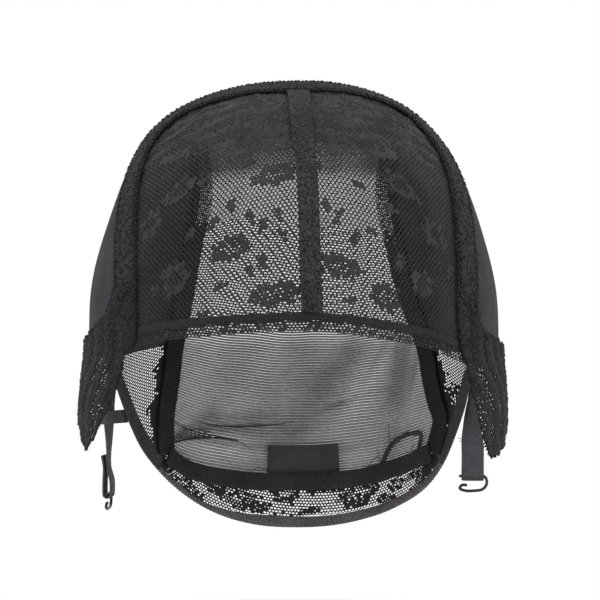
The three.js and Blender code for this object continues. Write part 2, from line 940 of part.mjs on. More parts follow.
// The hook below a strap, bent round under its bar
function hook(bar, across) {
  return wire(hook_rows.map((row) => bar.clone()
    .addScaledVector(across, row.across * hook_width)
    .setZ(bar.z - row.down * hook_drop)), hook_steps);
}

const left_strap = strap({
  path: left_rim,
  turn: left_strap_turn,
  rows: left_strap_rows,
  length: left_strap_length,
  bow: left_strap_bow,
  clearance: left_strap_clearance,
  side: -1,
});
const right_strap = strap({
  path: right_rim,
  turn: right_strap_turn,
  rows: right_strap_rows,
  length: right_strap_length,
  bow: right_strap_bow,
  clearance: right_strap_clearance,
  side: 1,
});
add('strap_left', tape(left_strap.places, strap_steps, strap_wall), strap_colour);
add('strap_right', tape(right_strap.places, strap_steps, strap_wall), strap_colour);
add('hook_left', hook(left_strap.bar, left_strap.across), wire_colour, wire_roughness);
add('hook_right', hook(right_strap.bar, right_strap.across), wire_colour, wire_roughness);

// The keeper: a short tape from the left ear edge, along the strap and round its front
const kept = left_strap.places[keeper_row];
const keeper_seat = beside(left_rim, shareAtTurn(left_rim, keeper_turn), ear_edge_width / 3);
const strap_face = new THREE.Vector3(-kept.across.y, kept.across.x, 0);
const face_gap = strap_wall / 2 + layer_gap + ribbon_wall / 2;
const beyond_strap = kept.width / 2 + layer_gap + ribbon_wall / 2;
const keeperPlace = (along, out) => ({
  middle: kept.middle.clone().addScaledVector(kept.across, along).addScaledVector(strap_face, out),
  across: new THREE.Vector3(0, 0, 1),
  width: keeper_height,
});
const keeper_start = {
  middle: clothPoint(keeper_seat, elastic_wall + layer_gap + ribbon_wall).setZ(kept.middle.z),
  across: new THREE.Vector3(0, 0, 1),
  width: keeper_height,
};
add('strap_keeper_left', tape([
  keeper_start,
  keeperPlace(kept.width / 4, -face_gap),
  keeperPlace(-kept.width / 4, -face_gap),
  keeperPlace(-beyond_strap, -face_gap),
  keeperPlace(-beyond_strap, keeper_end),
], keeper_steps, ribbon_wall), strap_colour);

export default cap;
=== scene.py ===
import math

import bpy
import numpy as np
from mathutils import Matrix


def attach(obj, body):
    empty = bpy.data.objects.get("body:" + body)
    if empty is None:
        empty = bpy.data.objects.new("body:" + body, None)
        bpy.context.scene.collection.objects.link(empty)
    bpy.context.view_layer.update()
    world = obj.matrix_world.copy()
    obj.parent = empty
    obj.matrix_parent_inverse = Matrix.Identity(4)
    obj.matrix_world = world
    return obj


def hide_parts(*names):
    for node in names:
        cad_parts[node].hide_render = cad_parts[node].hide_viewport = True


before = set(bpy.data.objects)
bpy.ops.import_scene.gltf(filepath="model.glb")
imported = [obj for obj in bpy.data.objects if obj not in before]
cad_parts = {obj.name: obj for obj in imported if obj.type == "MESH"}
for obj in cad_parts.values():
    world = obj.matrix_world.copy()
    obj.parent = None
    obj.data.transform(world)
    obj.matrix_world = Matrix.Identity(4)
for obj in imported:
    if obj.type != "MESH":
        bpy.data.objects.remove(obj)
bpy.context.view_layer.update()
random = np.random.default_rng(7)

# The head form, as in the frame: millimetres about the middle of the head, +Z up,
# the forehead towards -Y. Directions are turn and fall in degrees.
half_width = 77.2
front_depth = 92.0
back_depth = 96.0
crown_height = 87.0
drop_height = 190.0
plan_roundness = 2.1
rise_roundness = 2.15
side_shaping = 2.4
fold_height = 1.8

cloth_wall = 1.0
elastic_wall = 1.2
ribbon_wall = 0.9
label_wall = 0.6
strap_wall = 0.9
wire_thickness = 1.2
layer_gap = 0.35
inner_gap = 0.65
seam_gap = 0.7

front_hem_width = 6.5
ear_edge_width = 7.0
nape_hem_width = 5.0
nape_band_width = 7.4
centre_ribbon_width = 8.6
seam_band_width = 14.5
back_ribbon_width = 9.6
label_width = 31.0
label_height = 13.3
label_tuck = 1.5
nape_loop_width = 2.0
left_tab_flare = 3.6
right_tab_flare = 2.8
keeper_height = 5.3
keeper_end = 1.6
strap_width = 10.3
strap_end_length = 4.6
strap_end_lift = 0.8
strap_taper = 0.82
lace_pitch = 1.44
hem_pitch = 1.3
tab_pitch = 1.3
band_pitch = 1.2
ear_net_pitch = 1.12
nape_lace_pitch = 0.94
hook_width = 11.0
hook_drop = 5.6
loop_turns = 6

rim_rows = [
    (3.6, 93.9), (-7.2, 94.2), (-16.1, 94.8), (-26.1, 95.7), (-35.1, 97.0), (-44.4, 99.0),
    (-62, 100.8), (-80, 101.2), (-97, 101.5), (-109, 103), (-117, 107.5), (-122.1, 113.2),
    (-126.6, 118.6), (-131.8, 123.6), (-138.5, 127.6), (-146, 130.9), (-157, 134.1),
    (-169, 135.8), (-181.5, 136.2), (-197, 135.4), (-209, 133.7), (-220.5, 130.6),
    (-227, 126.6), (-232, 121), (-236.1, 115.3), (-240, 108.5), (-249, 104), (-263, 102),
    (-280, 102), (-297, 102.6), (-314.5, 101.8), (-327.6, 98.1), (-338.6, 96.0),
    (-347.7, 94.6),
]
seam_rows = [
    (-43.5, 87.5), (-45.3, 77), (-49.6, 66.5), (-56, 56), (-62, 45), (-60, 34), (-38, 25.5),
    (0, 22.3), (38, 22.5), (63, 31.5), (63, 43), (58.5, 53), (53, 63), (49, 72), (47.2, 81),
    (45.8, 90),
]
centre_rows = [(2.7, 44.4), (3.3, 57), (3.5, 68), (3.6, 80)]
centre_widths = [0.92, 0.86, 0.83, 0.85]
nape_hem_widths = [0.4, 0.42, 0.95, 0.85, 0.72, 0.6]
left_back_rows = [
    (-119, 31), (-139, 42), (-151, 59.6), (-150.8, 74), (-149.6, 85), (-146.2, 98.6),
    (-144.5, 107.4), (-142, 117.1),
]
right_back_rows = [
    (119, 31), (139, 42), (151.3, 59.6), (151, 75), (148.6, 86), (142.3, 98.7),
    (139.6, 107.7), (137.4, 112.7), (134.6, 117.5),
]
nape_rows = [
    (-146.5, 126.6), (-153, 127.6), (-163, 128.2), (-181.5, 128.4), (-195, 128.1),
    (-208.5, 126.8), (-218, 125.3),
]
left_tab = {
    "front": [(-39.3, 95.5), (-42.4, 98.9), (-44, 103.6), (-47.5, 110), (-54.7, 117.2)],
    "tip": (-66, 122.6),
    "upper": [(-52.8, 89.6), (-65, 94.6)],
    "rear_corner": (-90, 98.7),
    "rear": [(-88, 105), (-84, 113), (-76, 119.6)],
}
right_tab = {
    "front": [(42.5, 97.3), (44.4, 101.8), (47.6, 110.1), (50, 115), (54, 121)],
    "tip": (58.6, 123.2),
    "upper": [(52.6, 93.2), (66, 97)],
    "rear_corner": (90, 99.9),
    "rear": [(88, 106), (84.5, 114), (78, 120.4), (67, 123.2)],
}
side_rows = [
    (-90, 37, 24, 13, 0, 0.8), (90, 30, 20, 11, 0, 0.4), (-90, 64, 30, 16, 0, -1),
    (90, 66, 30, 17, 0, -1.05),
]
fold_rows = [
    (-164, 116.8, 15, 2.6, 0, 0.55), (-159, 121.4, 9, 2.6, -8, -0.6),
    (173, 108, 13, 3.6, 55, 0.6), (163, 110, 12, 3.4, 58, -0.5), (152, 104, 14, 3.4, 84, 0.8),
    (-36, 47, 9, 3.6, 78, 0.5), (-20, 36, 8, 3.6, 84, 0.5),
]


def unit(v):
    return v / np.linalg.norm(v, axis=-1, keepdims=True)


def towards(turn, fall):
    around, down = np.radians(turn), np.radians(fall)
    level = np.sin(down)
    return np.stack([level * np.sin(around), -level * np.cos(around), np.cos(down)], -1)


def turn_of(d):
    return np.degrees(np.arctan2(d[..., 0], -d[..., 1]))


def fall_of(d):
    return np.degrees(np.arccos(np.clip(d[..., 2], -1, 1)))


def swell(d, rows):
    """How far rows of soft swells and dips move the cloth, as a share of their height."""
    turn, fall, lift = turn_of(d), fall_of(d), 0.0
    for row_turn, row_fall, along, across, lie, share in rows:
        sideways = ((turn - row_turn + 180) % 360 - 180) * math.sin(math.radians(row_fall))
        down = fall - row_fall
        c, s = math.cos(math.radians(lie)), math.sin(math.radians(lie))
        a = (sideways * c + down * s) / along
        b = (down * c - sideways * s) / across
        lift = lift + share * np.exp(-a * a - b * b)
    return lift


def reach(d):
    depth = np.where(d[..., 1] < 0, front_depth, back_depth)
    height = np.where(d[..., 2] > 0, crown_height, drop_height)
    plan = np.abs(d[..., 0] / half_width) ** plan_roundness
    plan = plan + np.abs(d[..., 1] / depth) ** plan_roundness
    whole = plan ** (rise_roundness / plan_roundness)
    whole = whole + np.abs(d[..., 2] / height) ** rise_roundness
    lift = side_shaping * swell(d, side_rows) + fold_height * swell(d, fold_rows)
    return whole ** (-1 / rise_roundness) + lift


def form_point(d):
    d = unit(d)
    return d * reach(d)[..., None]


def outward(d):
    step = 0.006
    helper = np.where(np.abs(d[..., 2:3]) < 0.9, [0.0, 0.0, 1.0], [1.0, 0.0, 0.0])
    side = unit(np.cross(helper, d))
    up = np.cross(d, side)
    along = form_point(d + side * step) - form_point(d - side * step)
    rise = form_point(d + up * step) - form_point(d - up * step)
    return unit(np.cross(along, rise))


def cloth_point(d, height):
    height = np.broadcast_to(np.asarray(height, float), d.shape[:-1])
    return form_point(d) + outward(d) * height[..., None]


def curve_points(points, closed, rows):
    p = np.asarray(points, float)
    if closed:
        ring = np.concatenate([p[-1:], p, p[:2]])
    else:
        ring = np.concatenate([2 * p[:1] - p[1:2], p, 2 * p[-1:] - p[-2:-1]])
    spans = len(ring) - 3
    t = np.linspace(0, spans, rows + 1)
    i = np.minimum(t.astype(int), spans - 1)
    w = (t - i)[:, None]
    a, b, c, d = ring[i], ring[i + 1], ring[i + 2], ring[i + 3]
    r = [np.maximum(np.linalg.norm(q - p0, axis=1, keepdims=True) ** 0.5, 1e-4)
         for p0, q in ((a, b), (b, c), (c, d))]
    m1 = ((b - a) / r[0] - (c - a) / (r[0] + r[1]) + (c - b) / r[1]) * r[1]
    m2 = ((c - b) / r[1] - (d - b) / (r[1] + r[2]) + (d - c) / r[2]) * r[1]
    return b + m1 * w + (3 * c - 3 * b - 2 * m1 - m2) * w ** 2 + (2 * b - 2 * c + m1 + m2) * w ** 3


class Line:
    """A smooth line of directions, with shares of its length from 0 to 1."""

    def __init__(self, directions, closed=False):
        self.points = curve_points(directions, closed, 1600)
        run = np.cumsum(np.linalg.norm(np.diff(self.points, axis=0), axis=1))
        self.shares = np.concatenate([[0], run]) / run[-1]

    def __call__(self, share):
        share = np.clip(np.asarray(share, float), 0, 1)
        return unit(np.stack([np.interp(share, self.shares, self.points[:, k])
                              for k in range(3)], -1))


def stretch(whole, start, end):
    return lambda share: whole(start + (end - start) * np.asarray(share, float))


def line_through(first, rows, last):
    return Line([first] + [towards(*row) for row in rows] + [last])


def station(path, share):
    share = np.asarray(share, float)
    before = form_point(path(np.maximum(share - 0.002, 0)))
    after = form_point(path(np.minimum(share + 0.002, 1)))
    d = path(share)
    return form_point(d), unit(np.cross(after - before, outward(d)))


def beside(path, share, distance):
    point, side = station(path, share)
    return unit(point + side * np.asarray(distance, float)[..., None])


def even_width(share):
    return 1.0 + 0 * share


def shifted(path, distance, width=even_width):
    share = np.linspace(0, 1, 41)
    return Line(beside(path, share, distance * width(share)))


def length_of(path):
    points = form_point(path(np.linspace(0, 1, 25)))
    return float(np.linalg.norm(np.diff(points, axis=0), axis=1).sum())


def share_at_turn(path, turn):
    share = np.linspace(0, 1, 1441)
    apart = np.abs((turn_of(path(share)) - turn + 540) % 360 - 180)
    return share[int(np.argmin(apart))]


def ending_at(path, last):
    correction = last - path(1)
    return lambda share: unit(path(share) + correction * np.asarray(share, float)[..., None])


def patch(top, bottom, left, right):
    a, b, c, d = top(0), top(1), bottom(0), bottom(1)

    def blend(u, v):
        s, t = u[..., None], v[..., None]
        return unit(top(u) * (1 - t) + bottom(u) * t + left(v) * (1 - s) + right(v) * s
                    - a * (1 - s) * (1 - t) - b * s * (1 - t) - c * (1 - s) * t - d * s * t)
    return blend


def nape_hem_share(share):
    return np.interp(share, np.linspace(0, 1, len(nape_hem_widths)), nape_hem_widths)


# Shares of the seam where the middle, the shoulders and the back ribbons meet it, and the share
# of the back ribbons where the side panels end
middle_share = 0.495
left_shoulder, right_shoulder = 0.3, 0.7
left_ribbon_share, right_ribbon_share = 0.37, 0.63
panel_foot = 0.8

# The rim and the seams
rim = Line([towards(*row) for row in rim_rows], True)
left_front, left_nape = share_at_turn(rim, -45), share_at_turn(rim, -138.5)
right_nape, right_front = share_at_turn(rim, -226.5), share_at_turn(rim, -315)
front_rim = stretch(lambda share: rim(share % 1.0), left_front, right_front - 1)
left_rim = stretch(rim, left_front, left_nape)
right_rim = stretch(rim, right_front, right_nape)
nape_rim = stretch(rim, left_nape, right_nape)
hem_inner = shifted(front_rim, -front_hem_width)
left_ear_inner = shifted(left_rim, ear_edge_width)
right_ear_inner = shifted(right_rim, -ear_edge_width)
nape_hem_inner = shifted(nape_rim, nape_hem_width, nape_hem_share)
seam = line_through(left_ear_inner(0), seam_rows, right_ear_inner(0))
nape_seam = line_through(left_ear_inner(1), nape_rows, right_ear_inner(1))
hem_middle = share_at_turn(hem_inner, 4)
centre = line_through(seam(middle_share), centre_rows, hem_inner(hem_middle))
left_back = line_through(seam(left_ribbon_share), left_back_rows, nape_seam(0))
right_back = line_through(seam(right_ribbon_share), right_back_rows, nape_seam(1))
ribbon_bottom = cloth_wall + layer_gap
tab_bottom = elastic_wall + layer_gap


# Materials
def cloth_material(name, colour, spread, roughness=0.85, sheen=0.04, grain=2200.0, bump=0.3,
                   specular=0.2):
    """Thread and cloth: a fine grain of light and dark over broad, faint blotches."""
    material = bpy.data.materials.new(name)
    material.use_nodes = True
    nodes, links = material.node_tree.nodes, material.node_tree.links
    shader = nodes["Principled BSDF"]

    def setting(node, **values):
        for socket, value in values.items():
            node.inputs[socket.replace("_", " ")].default_value = value
        return node
    setting(shader, Sheen_Weight=sheen, Sheen_Roughness=0.5, Specular_IOR_Level=specular)
    place = nodes.new("ShaderNodeTexCoord")
    ramps = []
    for scale, detail, low, high, tint in ((grain, 2.0, 1 - spread, 1 + spread, colour),
                                           (70.0, 4.0, 0.82, 1.16, (1, 1, 1))):
        noise = setting(nodes.new("ShaderNodeTexNoise"), Scale=scale, Detail=detail)
        ramp = nodes.new("ShaderNodeValToRGB")
        for element, position, share in zip(ramp.color_ramp.elements, (0.33, 0.67), (low, high)):
            element.position = position
            element.color = (*[c * share for c in tint], 1)
        links.new(place.outputs["Object"], noise.inputs["Vector"])
        links.new(noise.outputs["Fac"], ramp.inputs["Fac"])
        ramps.append((noise, ramp))
    product = nodes.new("ShaderNodeMix")
    product.data_type = "RGBA"
    product.blend_type = "MULTIPLY"
    setting(product, Factor=1.0)
    colours = [socket for socket in product.inputs if socket.type == "RGBA"]
    for (noise, ramp), socket in zip(ramps, colours):
        links.new(ramp.outputs["Color"], socket)
    result = [socket for socket in product.outputs if socket.type == "RGBA"][0]
    links.new(result, shader.inputs["Base Color"])
    fine = ramps[0][0].outputs["Fac"]
    rough = setting(nodes.new("ShaderNodeMapRange"), To_Min=roughness - 0.08,
                    To_Max=min(roughness + 0.1, 1.0))
    links.new(fine, rough.inputs["Value"])
    links.new(rough.outputs["Result"], shader.inputs["Roughness"])
    raised = setting(nodes.new("ShaderNodeBump"), Strength=bump, Distance=0.0002)
    links.new(fine, raised.inputs["Height"])
    links.new(raised.outputs["Normal"], shader.inputs["Normal"])
    return material


bluish, neutral, cool, brownish = (1, 0.98, 1.1), (1, 1, 1.03), (1, 0.985, 1.04), (1.06, 0.96, 1)
look_rows = [
    ("lace", "lace_thread", 0.028, bluish, 0.5, {}),
    ("knot", "lace_filling", 0.034, bluish, 0.6, {}),
    ("seam", "seam_lace", 0.021, bluish, 0.65, {}),
    ("tab", "tab_lace", 0.014, bluish, 0.6, {}),
    ("nape", "nape_elastic", 0.108, brownish, 0.5, {"grain": 1500.0}),
    ("ribbed", "ribbed_knit", 0.05, bluish, 0.35, {}),
    ("mesh", "grey_mesh", 0.335, cool, 0.2, {"grain": 1300.0}),
    ("ribbon", "ribbon_weave", 0.024, neutral, 0.98, {"grain": 1300.0}),
    ("elastic", "elastic", 0.054, brownish, 0.5, {"grain": 1500.0}),
    ("band", "inner_elastic", 0.03, neutral, 0.45, {}),
    ("label", "label_weave", 0.052, bluish, 0.14, {"roughness": 0.7}),
    ("strap", "strap_weave", 0.075, bluish, 0.3, {}),
    ("wire", "coated_wire", 0.012, bluish, 0.2,
     {"roughness": 0.3, "sheen": 0.0, "bump": 0.03, "specular": 0.5}),
    ("thread", "sewing_thread", 0.016, bluish, 0.4, {"roughness": 0.75}),
]
looks = {look: cloth_material(name, [value * share for share in tint], spread, **more)
         for look, name, value, tint, spread, more in look_rows}


def make(name, shape, look, nodes=(), sharp=None, filled=False):
    """One piece from points in millimetres and groups of faces of one size."""
    points = shape[0] * 0.001
    points[:, 2] -= crown_height * 0.001
    faces = [group for group in shape[1] if len(group)]
    mesh = bpy.data.meshes.new(name)
    loops = np.concatenate([group.ravel() for group in faces])
    sizes = np.concatenate([np.full(len(group), group.shape[1]) for group in faces])
    mesh.vertices.add(len(points))
    mesh.vertices.foreach_set("co", points.ravel())
    mesh.loops.add(len(loops))
    mesh.loops.foreach_set("vertex_index", loops.astype(np.int32))
    mesh.polygons.add(len(sizes))
    starts = np.concatenate([[0], np.cumsum(sizes)[:-1]])
    mesh.polygons.foreach_set("loop_start", starts.astype(np.int32))
    mesh.update(calc_edges=True)
    mesh.shade_smooth()
    if sharp is not None:
        mesh.set_sharp_from_angle(angle=math.radians(sharp))
    piece = bpy.data.objects.new(name, mesh)
    bpy.context.scene.collection.objects.link(piece)
    for each in [look, "knot"] if filled else [look]:
        mesh.materials.append(looks[each])
    if filled:
        mesh.polygons.foreach_set("material_index", (sizes == 3).astype(np.int32))
    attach(piece, "root")
    if nodes:
        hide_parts(*nodes)


def turned_out(points, faces):
    volume = 0.0
    for group in faces:
        for k in range(1, group.shape[1] - 1):
            a, b, c = points[group[:, 0]], points[group[:, k]], points[group[:, k + 1]]
            volume += float((a * np.cross(b, c)).sum())
    return faces if volume > 0 else [group[:, ::-1] for group in faces]


def faces_of(*corners):
    """Faces from one array of point numbers for each of their corners."""
    return np.stack([corner.ravel() for corner in corners], -1)


def wall(outer, inner):
    """A closed wall between two grids of points."""
    rows, columns = outer.shape[:2]
    ids = np.arange(rows * columns).reshape(rows, columns)
    low = ids + rows * columns
    faces = np.concatenate([
        faces_of(ids[:-1, :-1], ids[1:, :-1], ids[1:, 1:], ids[:-1, 1:]),
        faces_of(low[:-1, :-1], low[:-1, 1:], low[1:, 1:], low[1:, :-1]),
        faces_of(ids[:-1, 0], low[:-1, 0], low[1:, 0], ids[1:, 0]),
        faces_of(ids[:-1, -1], ids[1:, -1], low[1:, -1], low[:-1, -1]),
        faces_of(ids[0, :-1], ids[0, 1:], low[0, 1:], low[0, :-1]),
        faces_of(ids[-1, :-1], low[-1, :-1], low[-1, 1:], ids[-1, 1:]),
    ])
    points = np.concatenate([outer.reshape(-1, 3), inner.reshape(-1, 3)])
    return points, turned_out(points, [faces])


def join(parts):
    """Several (points, faces) joined into one."""
    points, groups, base = [], {}, 0
    for some, faces in parts:
        points.append(some)
        for group in faces:
            groups.setdefault(group.shape[1], []).append(group + base)
        base += len(some)
    return np.concatenate(points), [np.concatenate(g) for g in groups.values()]


def tubes(paths, radii, sides):
    """Round threads through lists of points, all of one number of sides."""
    parts = []
    angle = np.arange(sides)[None, :, None] / sides * 2 * math.pi
    for path, radius in zip(paths, radii):
        n = len(path)
        size = np.broadcast_to(radius, n)
        tangent = unit(np.gradient(path, axis=0))
        side = unit(np.cross(tangent, [0.31, 0.52, 0.79]))
        for i in range(1, n):
            keep = side[i - 1] - tangent[i] * (side[i - 1] @ tangent[i])
            side[i] = keep / np.linalg.norm(keep)
        up = np.cross(tangent, side)
        ring = side[:, None] * np.cos(angle) + up[:, None] * np.sin(angle)
        ring = path[:, None] + size[:, None, None] * ring
        ids = np.arange(n * sides).reshape(n, sides)
        after = np.roll(ids, -1, axis=1)
        first, last = np.full(sides, n * sides), np.full(sides, n * sides + 1)
        caps = np.concatenate([faces_of(first, after[0], ids[0]),
                               faces_of(last, ids[-1], after[-1])])
        points = np.concatenate([ring.reshape(-1, 3), path[:1], path[-1:]])
        parts.append((points, [faces_of(ids[:-1], after[:-1], after[1:], ids[1:]), caps]))
    return join(parts)


def grains(middles, along, across, up):
    """Small closed stitches: each has a middle and three half axes."""
    middles, along, across, up = (np.asarray(x, float) for x in (middles, along, across, up))
    points = np.stack([middles + along, middles + across, middles - along, middles - across,
                       middles + up, middles - up], 1)
    pattern = np.array([[0, 1, 4], [1, 2, 4], [2, 3, 4], [3, 0, 4],
                        [1, 0, 5], [2, 1, 5], [3, 2, 5], [0, 3, 5]])
    faces = (np.arange(len(middles))[:, None, None] * 6 + pattern[None]).reshape(-1, 3)
    points = points.reshape(-1, 3)
    return points, turned_out(points, [faces])


def plane(turn, fall, radius=88.0):
    """A flat map of the cloth about one direction, both ways."""
    t, f = math.radians(turn), math.radians(fall)
    middle = towards(turn, fall)
    right = np.array([math.cos(t), math.sin(t), 0.0])
    up = np.array([-math.cos(f) * math.sin(t), math.cos(f) * math.cos(t), math.sin(f)])

    def lift(x, y):
        rho = np.maximum(np.hypot(x, y), 1e-9)
        bend = rho / radius
        flat = (right * x[..., None] + up * y[..., None]) / rho[..., None]
        return middle * np.cos(bend)[..., None] + flat * np.sin(bend)[..., None]

    def flatten(d):
        bend = np.arccos(np.clip(d @ middle, -1, 1))
        scale = radius * bend / np.maximum(np.sin(bend), 1e-9)
        return scale * (d @ right), scale * (d @ up)
    return lift, flatten


def within(px, py, x, y):
    """Which points lie inside a closed outline."""
    inside = np.zeros(x.shape, bool)
    for x0, y0, x1, y1 in zip(px, py, np.roll(px, -1), np.roll(py, -1)):
        if y0 != y1:
            crosses = (y0 > y) != (y1 > y)
            inside ^= crosses & (x < (x1 - x0) * (y - y0) / (y1 - y0) + x0)
    return inside


def net(place, inside, box, pitch, lean, fill, height, thickness=0.45, hole=(0.72, 0.6),
        jitter=0.04, warp=lambda x, y: (x, y)):
    """Knotted net: six-sided cells about holes, some of them filled with thread."""
    x0, y0, x1, y1 = box
    angle = math.radians(lean)
    a1, a2 = (pitch * np.array([math.cos(way), math.sin(way)])
              for way in (angle, angle + math.pi / 3))
    corners = np.array([[x0, y0], [x1, y0], [x0, y1], [x1, y1]])
    spans = corners @ np.linalg.inv(np.stack([a1, a2]))
    low, high = np.floor(spans.min(0)).astype(int) - 1, np.ceil(spans.max(0)).astype(int) + 1
    i, j = (g.ravel() for g in np.mgrid[low[0]:high[0], low[1]:high[1]])
    x, y = i * a1[0] + j * a2[0], i * a1[1] + j * a2[1]
    kept = (x > x0) & (x < x1) & (y > y0) & (y < y1) & inside(*warp(x, y))
    i, j, x, y = i[kept], j[kept], x[kept], y[kept]
    i0, j0, wide = i.min() - 2, j.min() - 2, int(j.max() - j.min() + 5)
    keys = np.stack([((i + a - i0) * wide + (j + b - j0)) * 2 + kind for a, b, kind in (
        (0, 0, 0), (-1, 0, 1), (-1, 0, 0), (-1, -1, 1), (0, -1, 0), (0, -1, 1))], -1)
    used, corner = np.unique(keys.ravel(), return_inverse=True)
    corner = corner.reshape(-1, 6)
    count = len(used)
    cx, cy = np.zeros(count), np.zeros(count)
    for k in range(6):
        spoke = angle + math.radians(30 + 60 * k)
        cx[corner[:, k]] = x + pitch / math.sqrt(3) * math.cos(spoke)
        cy[corner[:, k]] = y + pitch / math.sqrt(3) * math.sin(spoke)
    cx += random.normal(0, jitter * pitch, count)
    cy += random.normal(0, jitter * pitch, count)
    filled = fill(*warp(x, y))
    closed = filled > 0.85
    size = np.clip(1 - filled[~closed], 0.25, 1)
    o, c = corner[~closed], corner[closed]
    n_open, n_closed = len(o), len(c)
    mx, my = cx[corner].mean(1), cy[corner].mean(1)
    ox, oy, cos, sin = mx[~closed], my[~closed], math.cos(angle), math.sin(angle)
    ring = []
    for k in range(6):
        dx, dy = cx[o[:, k]] - ox, cy[o[:, k]] - oy
        scale = size * (1 + random.normal(0, 0.05, n_open))
        run, rise = (dx * cos + dy * sin) * hole[0] * scale, (dy * cos - dx * sin) * hole[1] * scale
        ring.append((ox + run * cos - rise * sin, oy + run * sin + rise * cos))
    rx, ry = np.stack([r[0] for r in ring], 1), np.stack([r[1] for r in ring], 1)
    flat_x = np.concatenate([cx, rx.ravel(), mx[closed]])
    flat_y = np.concatenate([cy, ry.ravel(), my[closed]])
    d = place(*warp(flat_x, flat_y))
    mid = height(d) if callable(height) else np.full(len(d), float(height))
    base, normal = form_point(d), outward(d)
    half = thickness / 2
    rims, rings = slice(count), slice(count, count + 6 * n_open)
    knots = slice(count + 6 * n_open, None)
    puff = half * (1.15 + 0.5 * random.random(n_closed))
    layers = ((rims, half), (rims, -half), (rings, 0), (knots, puff), (knots, -puff))
    points = np.concatenate([base[part] + normal[part] * (mid[part] + lift)[:, None]
                             for part, lift in layers])
    ring_ids = 2 * count + np.arange(6 * n_open).reshape(-1, 6)
    knot_ids = 2 * count + 6 * n_open + np.arange(n_closed)
    cells = set(zip(i.tolist(), j.tolist()))
    quads, tris = [], []
    for k, (di, dj) in enumerate([(0, 1), (-1, 1), (-1, 0), (0, -1), (1, -1), (1, 0)]):
        m = (k + 1) % 6
        ring_k, ring_m = ring_ids[:, k], ring_ids[:, m]
        quads += [faces_of(o[:, k], o[:, m], ring_m, ring_k),
                  faces_of(o[:, m] + count, o[:, k] + count, ring_k, ring_m)]
        tris += [faces_of(c[:, k], c[:, m], knot_ids),
                 faces_of(c[:, m] + count, c[:, k] + count, knot_ids + n_closed)]
        bare = np.array([(a + di, b + dj) not in cells for a, b in zip(i.tolist(), j.tolist())])
        e, f = corner[bare, k], corner[bare, m]
        quads.append(faces_of(f, e, e + count, f + count))
    quads, tris = np.concatenate(quads), np.concatenate(tris)
    return points, turned_out(points, [quads, tris])


def panel_net(flat, lines, pitch, lean, fill, height, **more):
    """Net within four lines on a flat map: the first two run one way, the others back."""
    lift, flatten = flat
    share = np.linspace(0, 1, 60)[:-1]
    px, py = flatten(np.concatenate([path(share) for path in lines[:2]]
                                    + [path(1 - share) for path in lines[2:]]))
    far = 1.5 * np.abs([px, py]).max()
    return net(lift, lambda x, y: within(px, py, x, y), (-far, -far, far, far), pitch, lean, fill,
               height, **more)


def strip_net(path, start, end, left, right, pitch, fill, height, **more):
    """Net along a line, between two distances from it."""
    total = length_of(stretch(path, start, end))

    def place(x, y):
        return beside(path, start + (end - start) * x / total, y)
    return net(place, lambda x, y: np.ones(x.shape, bool), (0, left, total, right), pitch, 0, fill,
               height, **more)


def strip_wall(path, start, end, left, right, low, high, steps, parts, crown, width):
    """A closed strip along a line; crown is its half thickness, from place to place."""
    share = np.linspace(start, end, steps + 1)[:, None] + np.zeros(parts + 1)
    across = np.linspace(0, 1, parts + 1)[None, :] + np.zeros((steps + 1, 1))
    across = (left + (right - left) * across) * width((share - start) / (end - start))
    d = beside(path, share, across)
    middle = (low + high) / 2
    return wall(cloth_point(d, middle + crown), cloth_point(d, middle - crown))


def ups_and_downs(count):
    return np.cos(np.arange(count + 1) * math.pi)


def ribbon_piece(name, path, start, end, left, right, low, high, look, nodes, steps, parts,
                 width=even_width, rib=0.06):
    """A woven strip with fine ribs along it and thinner edges."""
    place = np.linspace(-1, 1, parts + 1)[None, :]
    crown = (high - low) * (0.5 - 0.25 * np.abs(place) ** 8) + rib * ups_and_downs(parts)[None, :]
    shape = strip_wall(path, start, end, left, right, low, high, steps, parts, crown, width)
    make(name, shape, look, nodes, sharp=60)


def elastic_piece(node, path, left, right, low=0.0, high=elastic_wall, pitch=1.1, look="elastic",
                  width=even_width, rib=0.09):
    """Elastic, ribbed across."""
    steps, parts = 2 * int(length_of(path) / pitch), 6
    edge = 0.3 * np.abs(np.linspace(-1, 1, parts + 1)[None, :]) ** 6
    crown = (high - low) / 2 - edge + rib * ups_and_downs(steps)[:, None]
    shape = strip_wall(path, 0, 1, left, right, low, high, steps, parts, crown, width)
    make(node + "_elastic", shape, look, [node], sharp=70)


def stitches(path, start, end, distance, height, pitch, length=1.5, swing=0.0, thick=0.17):
    """Stitches along a line, straight, or in a zigzag that swings to both sides."""
    total = length_of(stretch(path, start, end))
    count = max(int(total / pitch), 2)
    step = (end - start) / count
    middle = start + step * (np.arange(count) + 0.5)
    half = step / 2 if swing else length / 2 / total * (end - start)
    lean = swing * (1 - 2 * (np.arange(count) % 2))
    lift = height + random.normal(0, 0.03, count)
    a = cloth_point(beside(path, middle - half, distance - lean), lift)
    b = cloth_point(beside(path, middle + half, distance + lean), lift)
    up = outward(beside(path, middle, np.full(count, float(distance))))
    along = (b - a) / 2
    across = unit(np.cross(along, up)) * thick * random.uniform(0.8, 1.2, (count, 1))
    return grains((a + b) / 2, along * 0.97, across, up * thick)


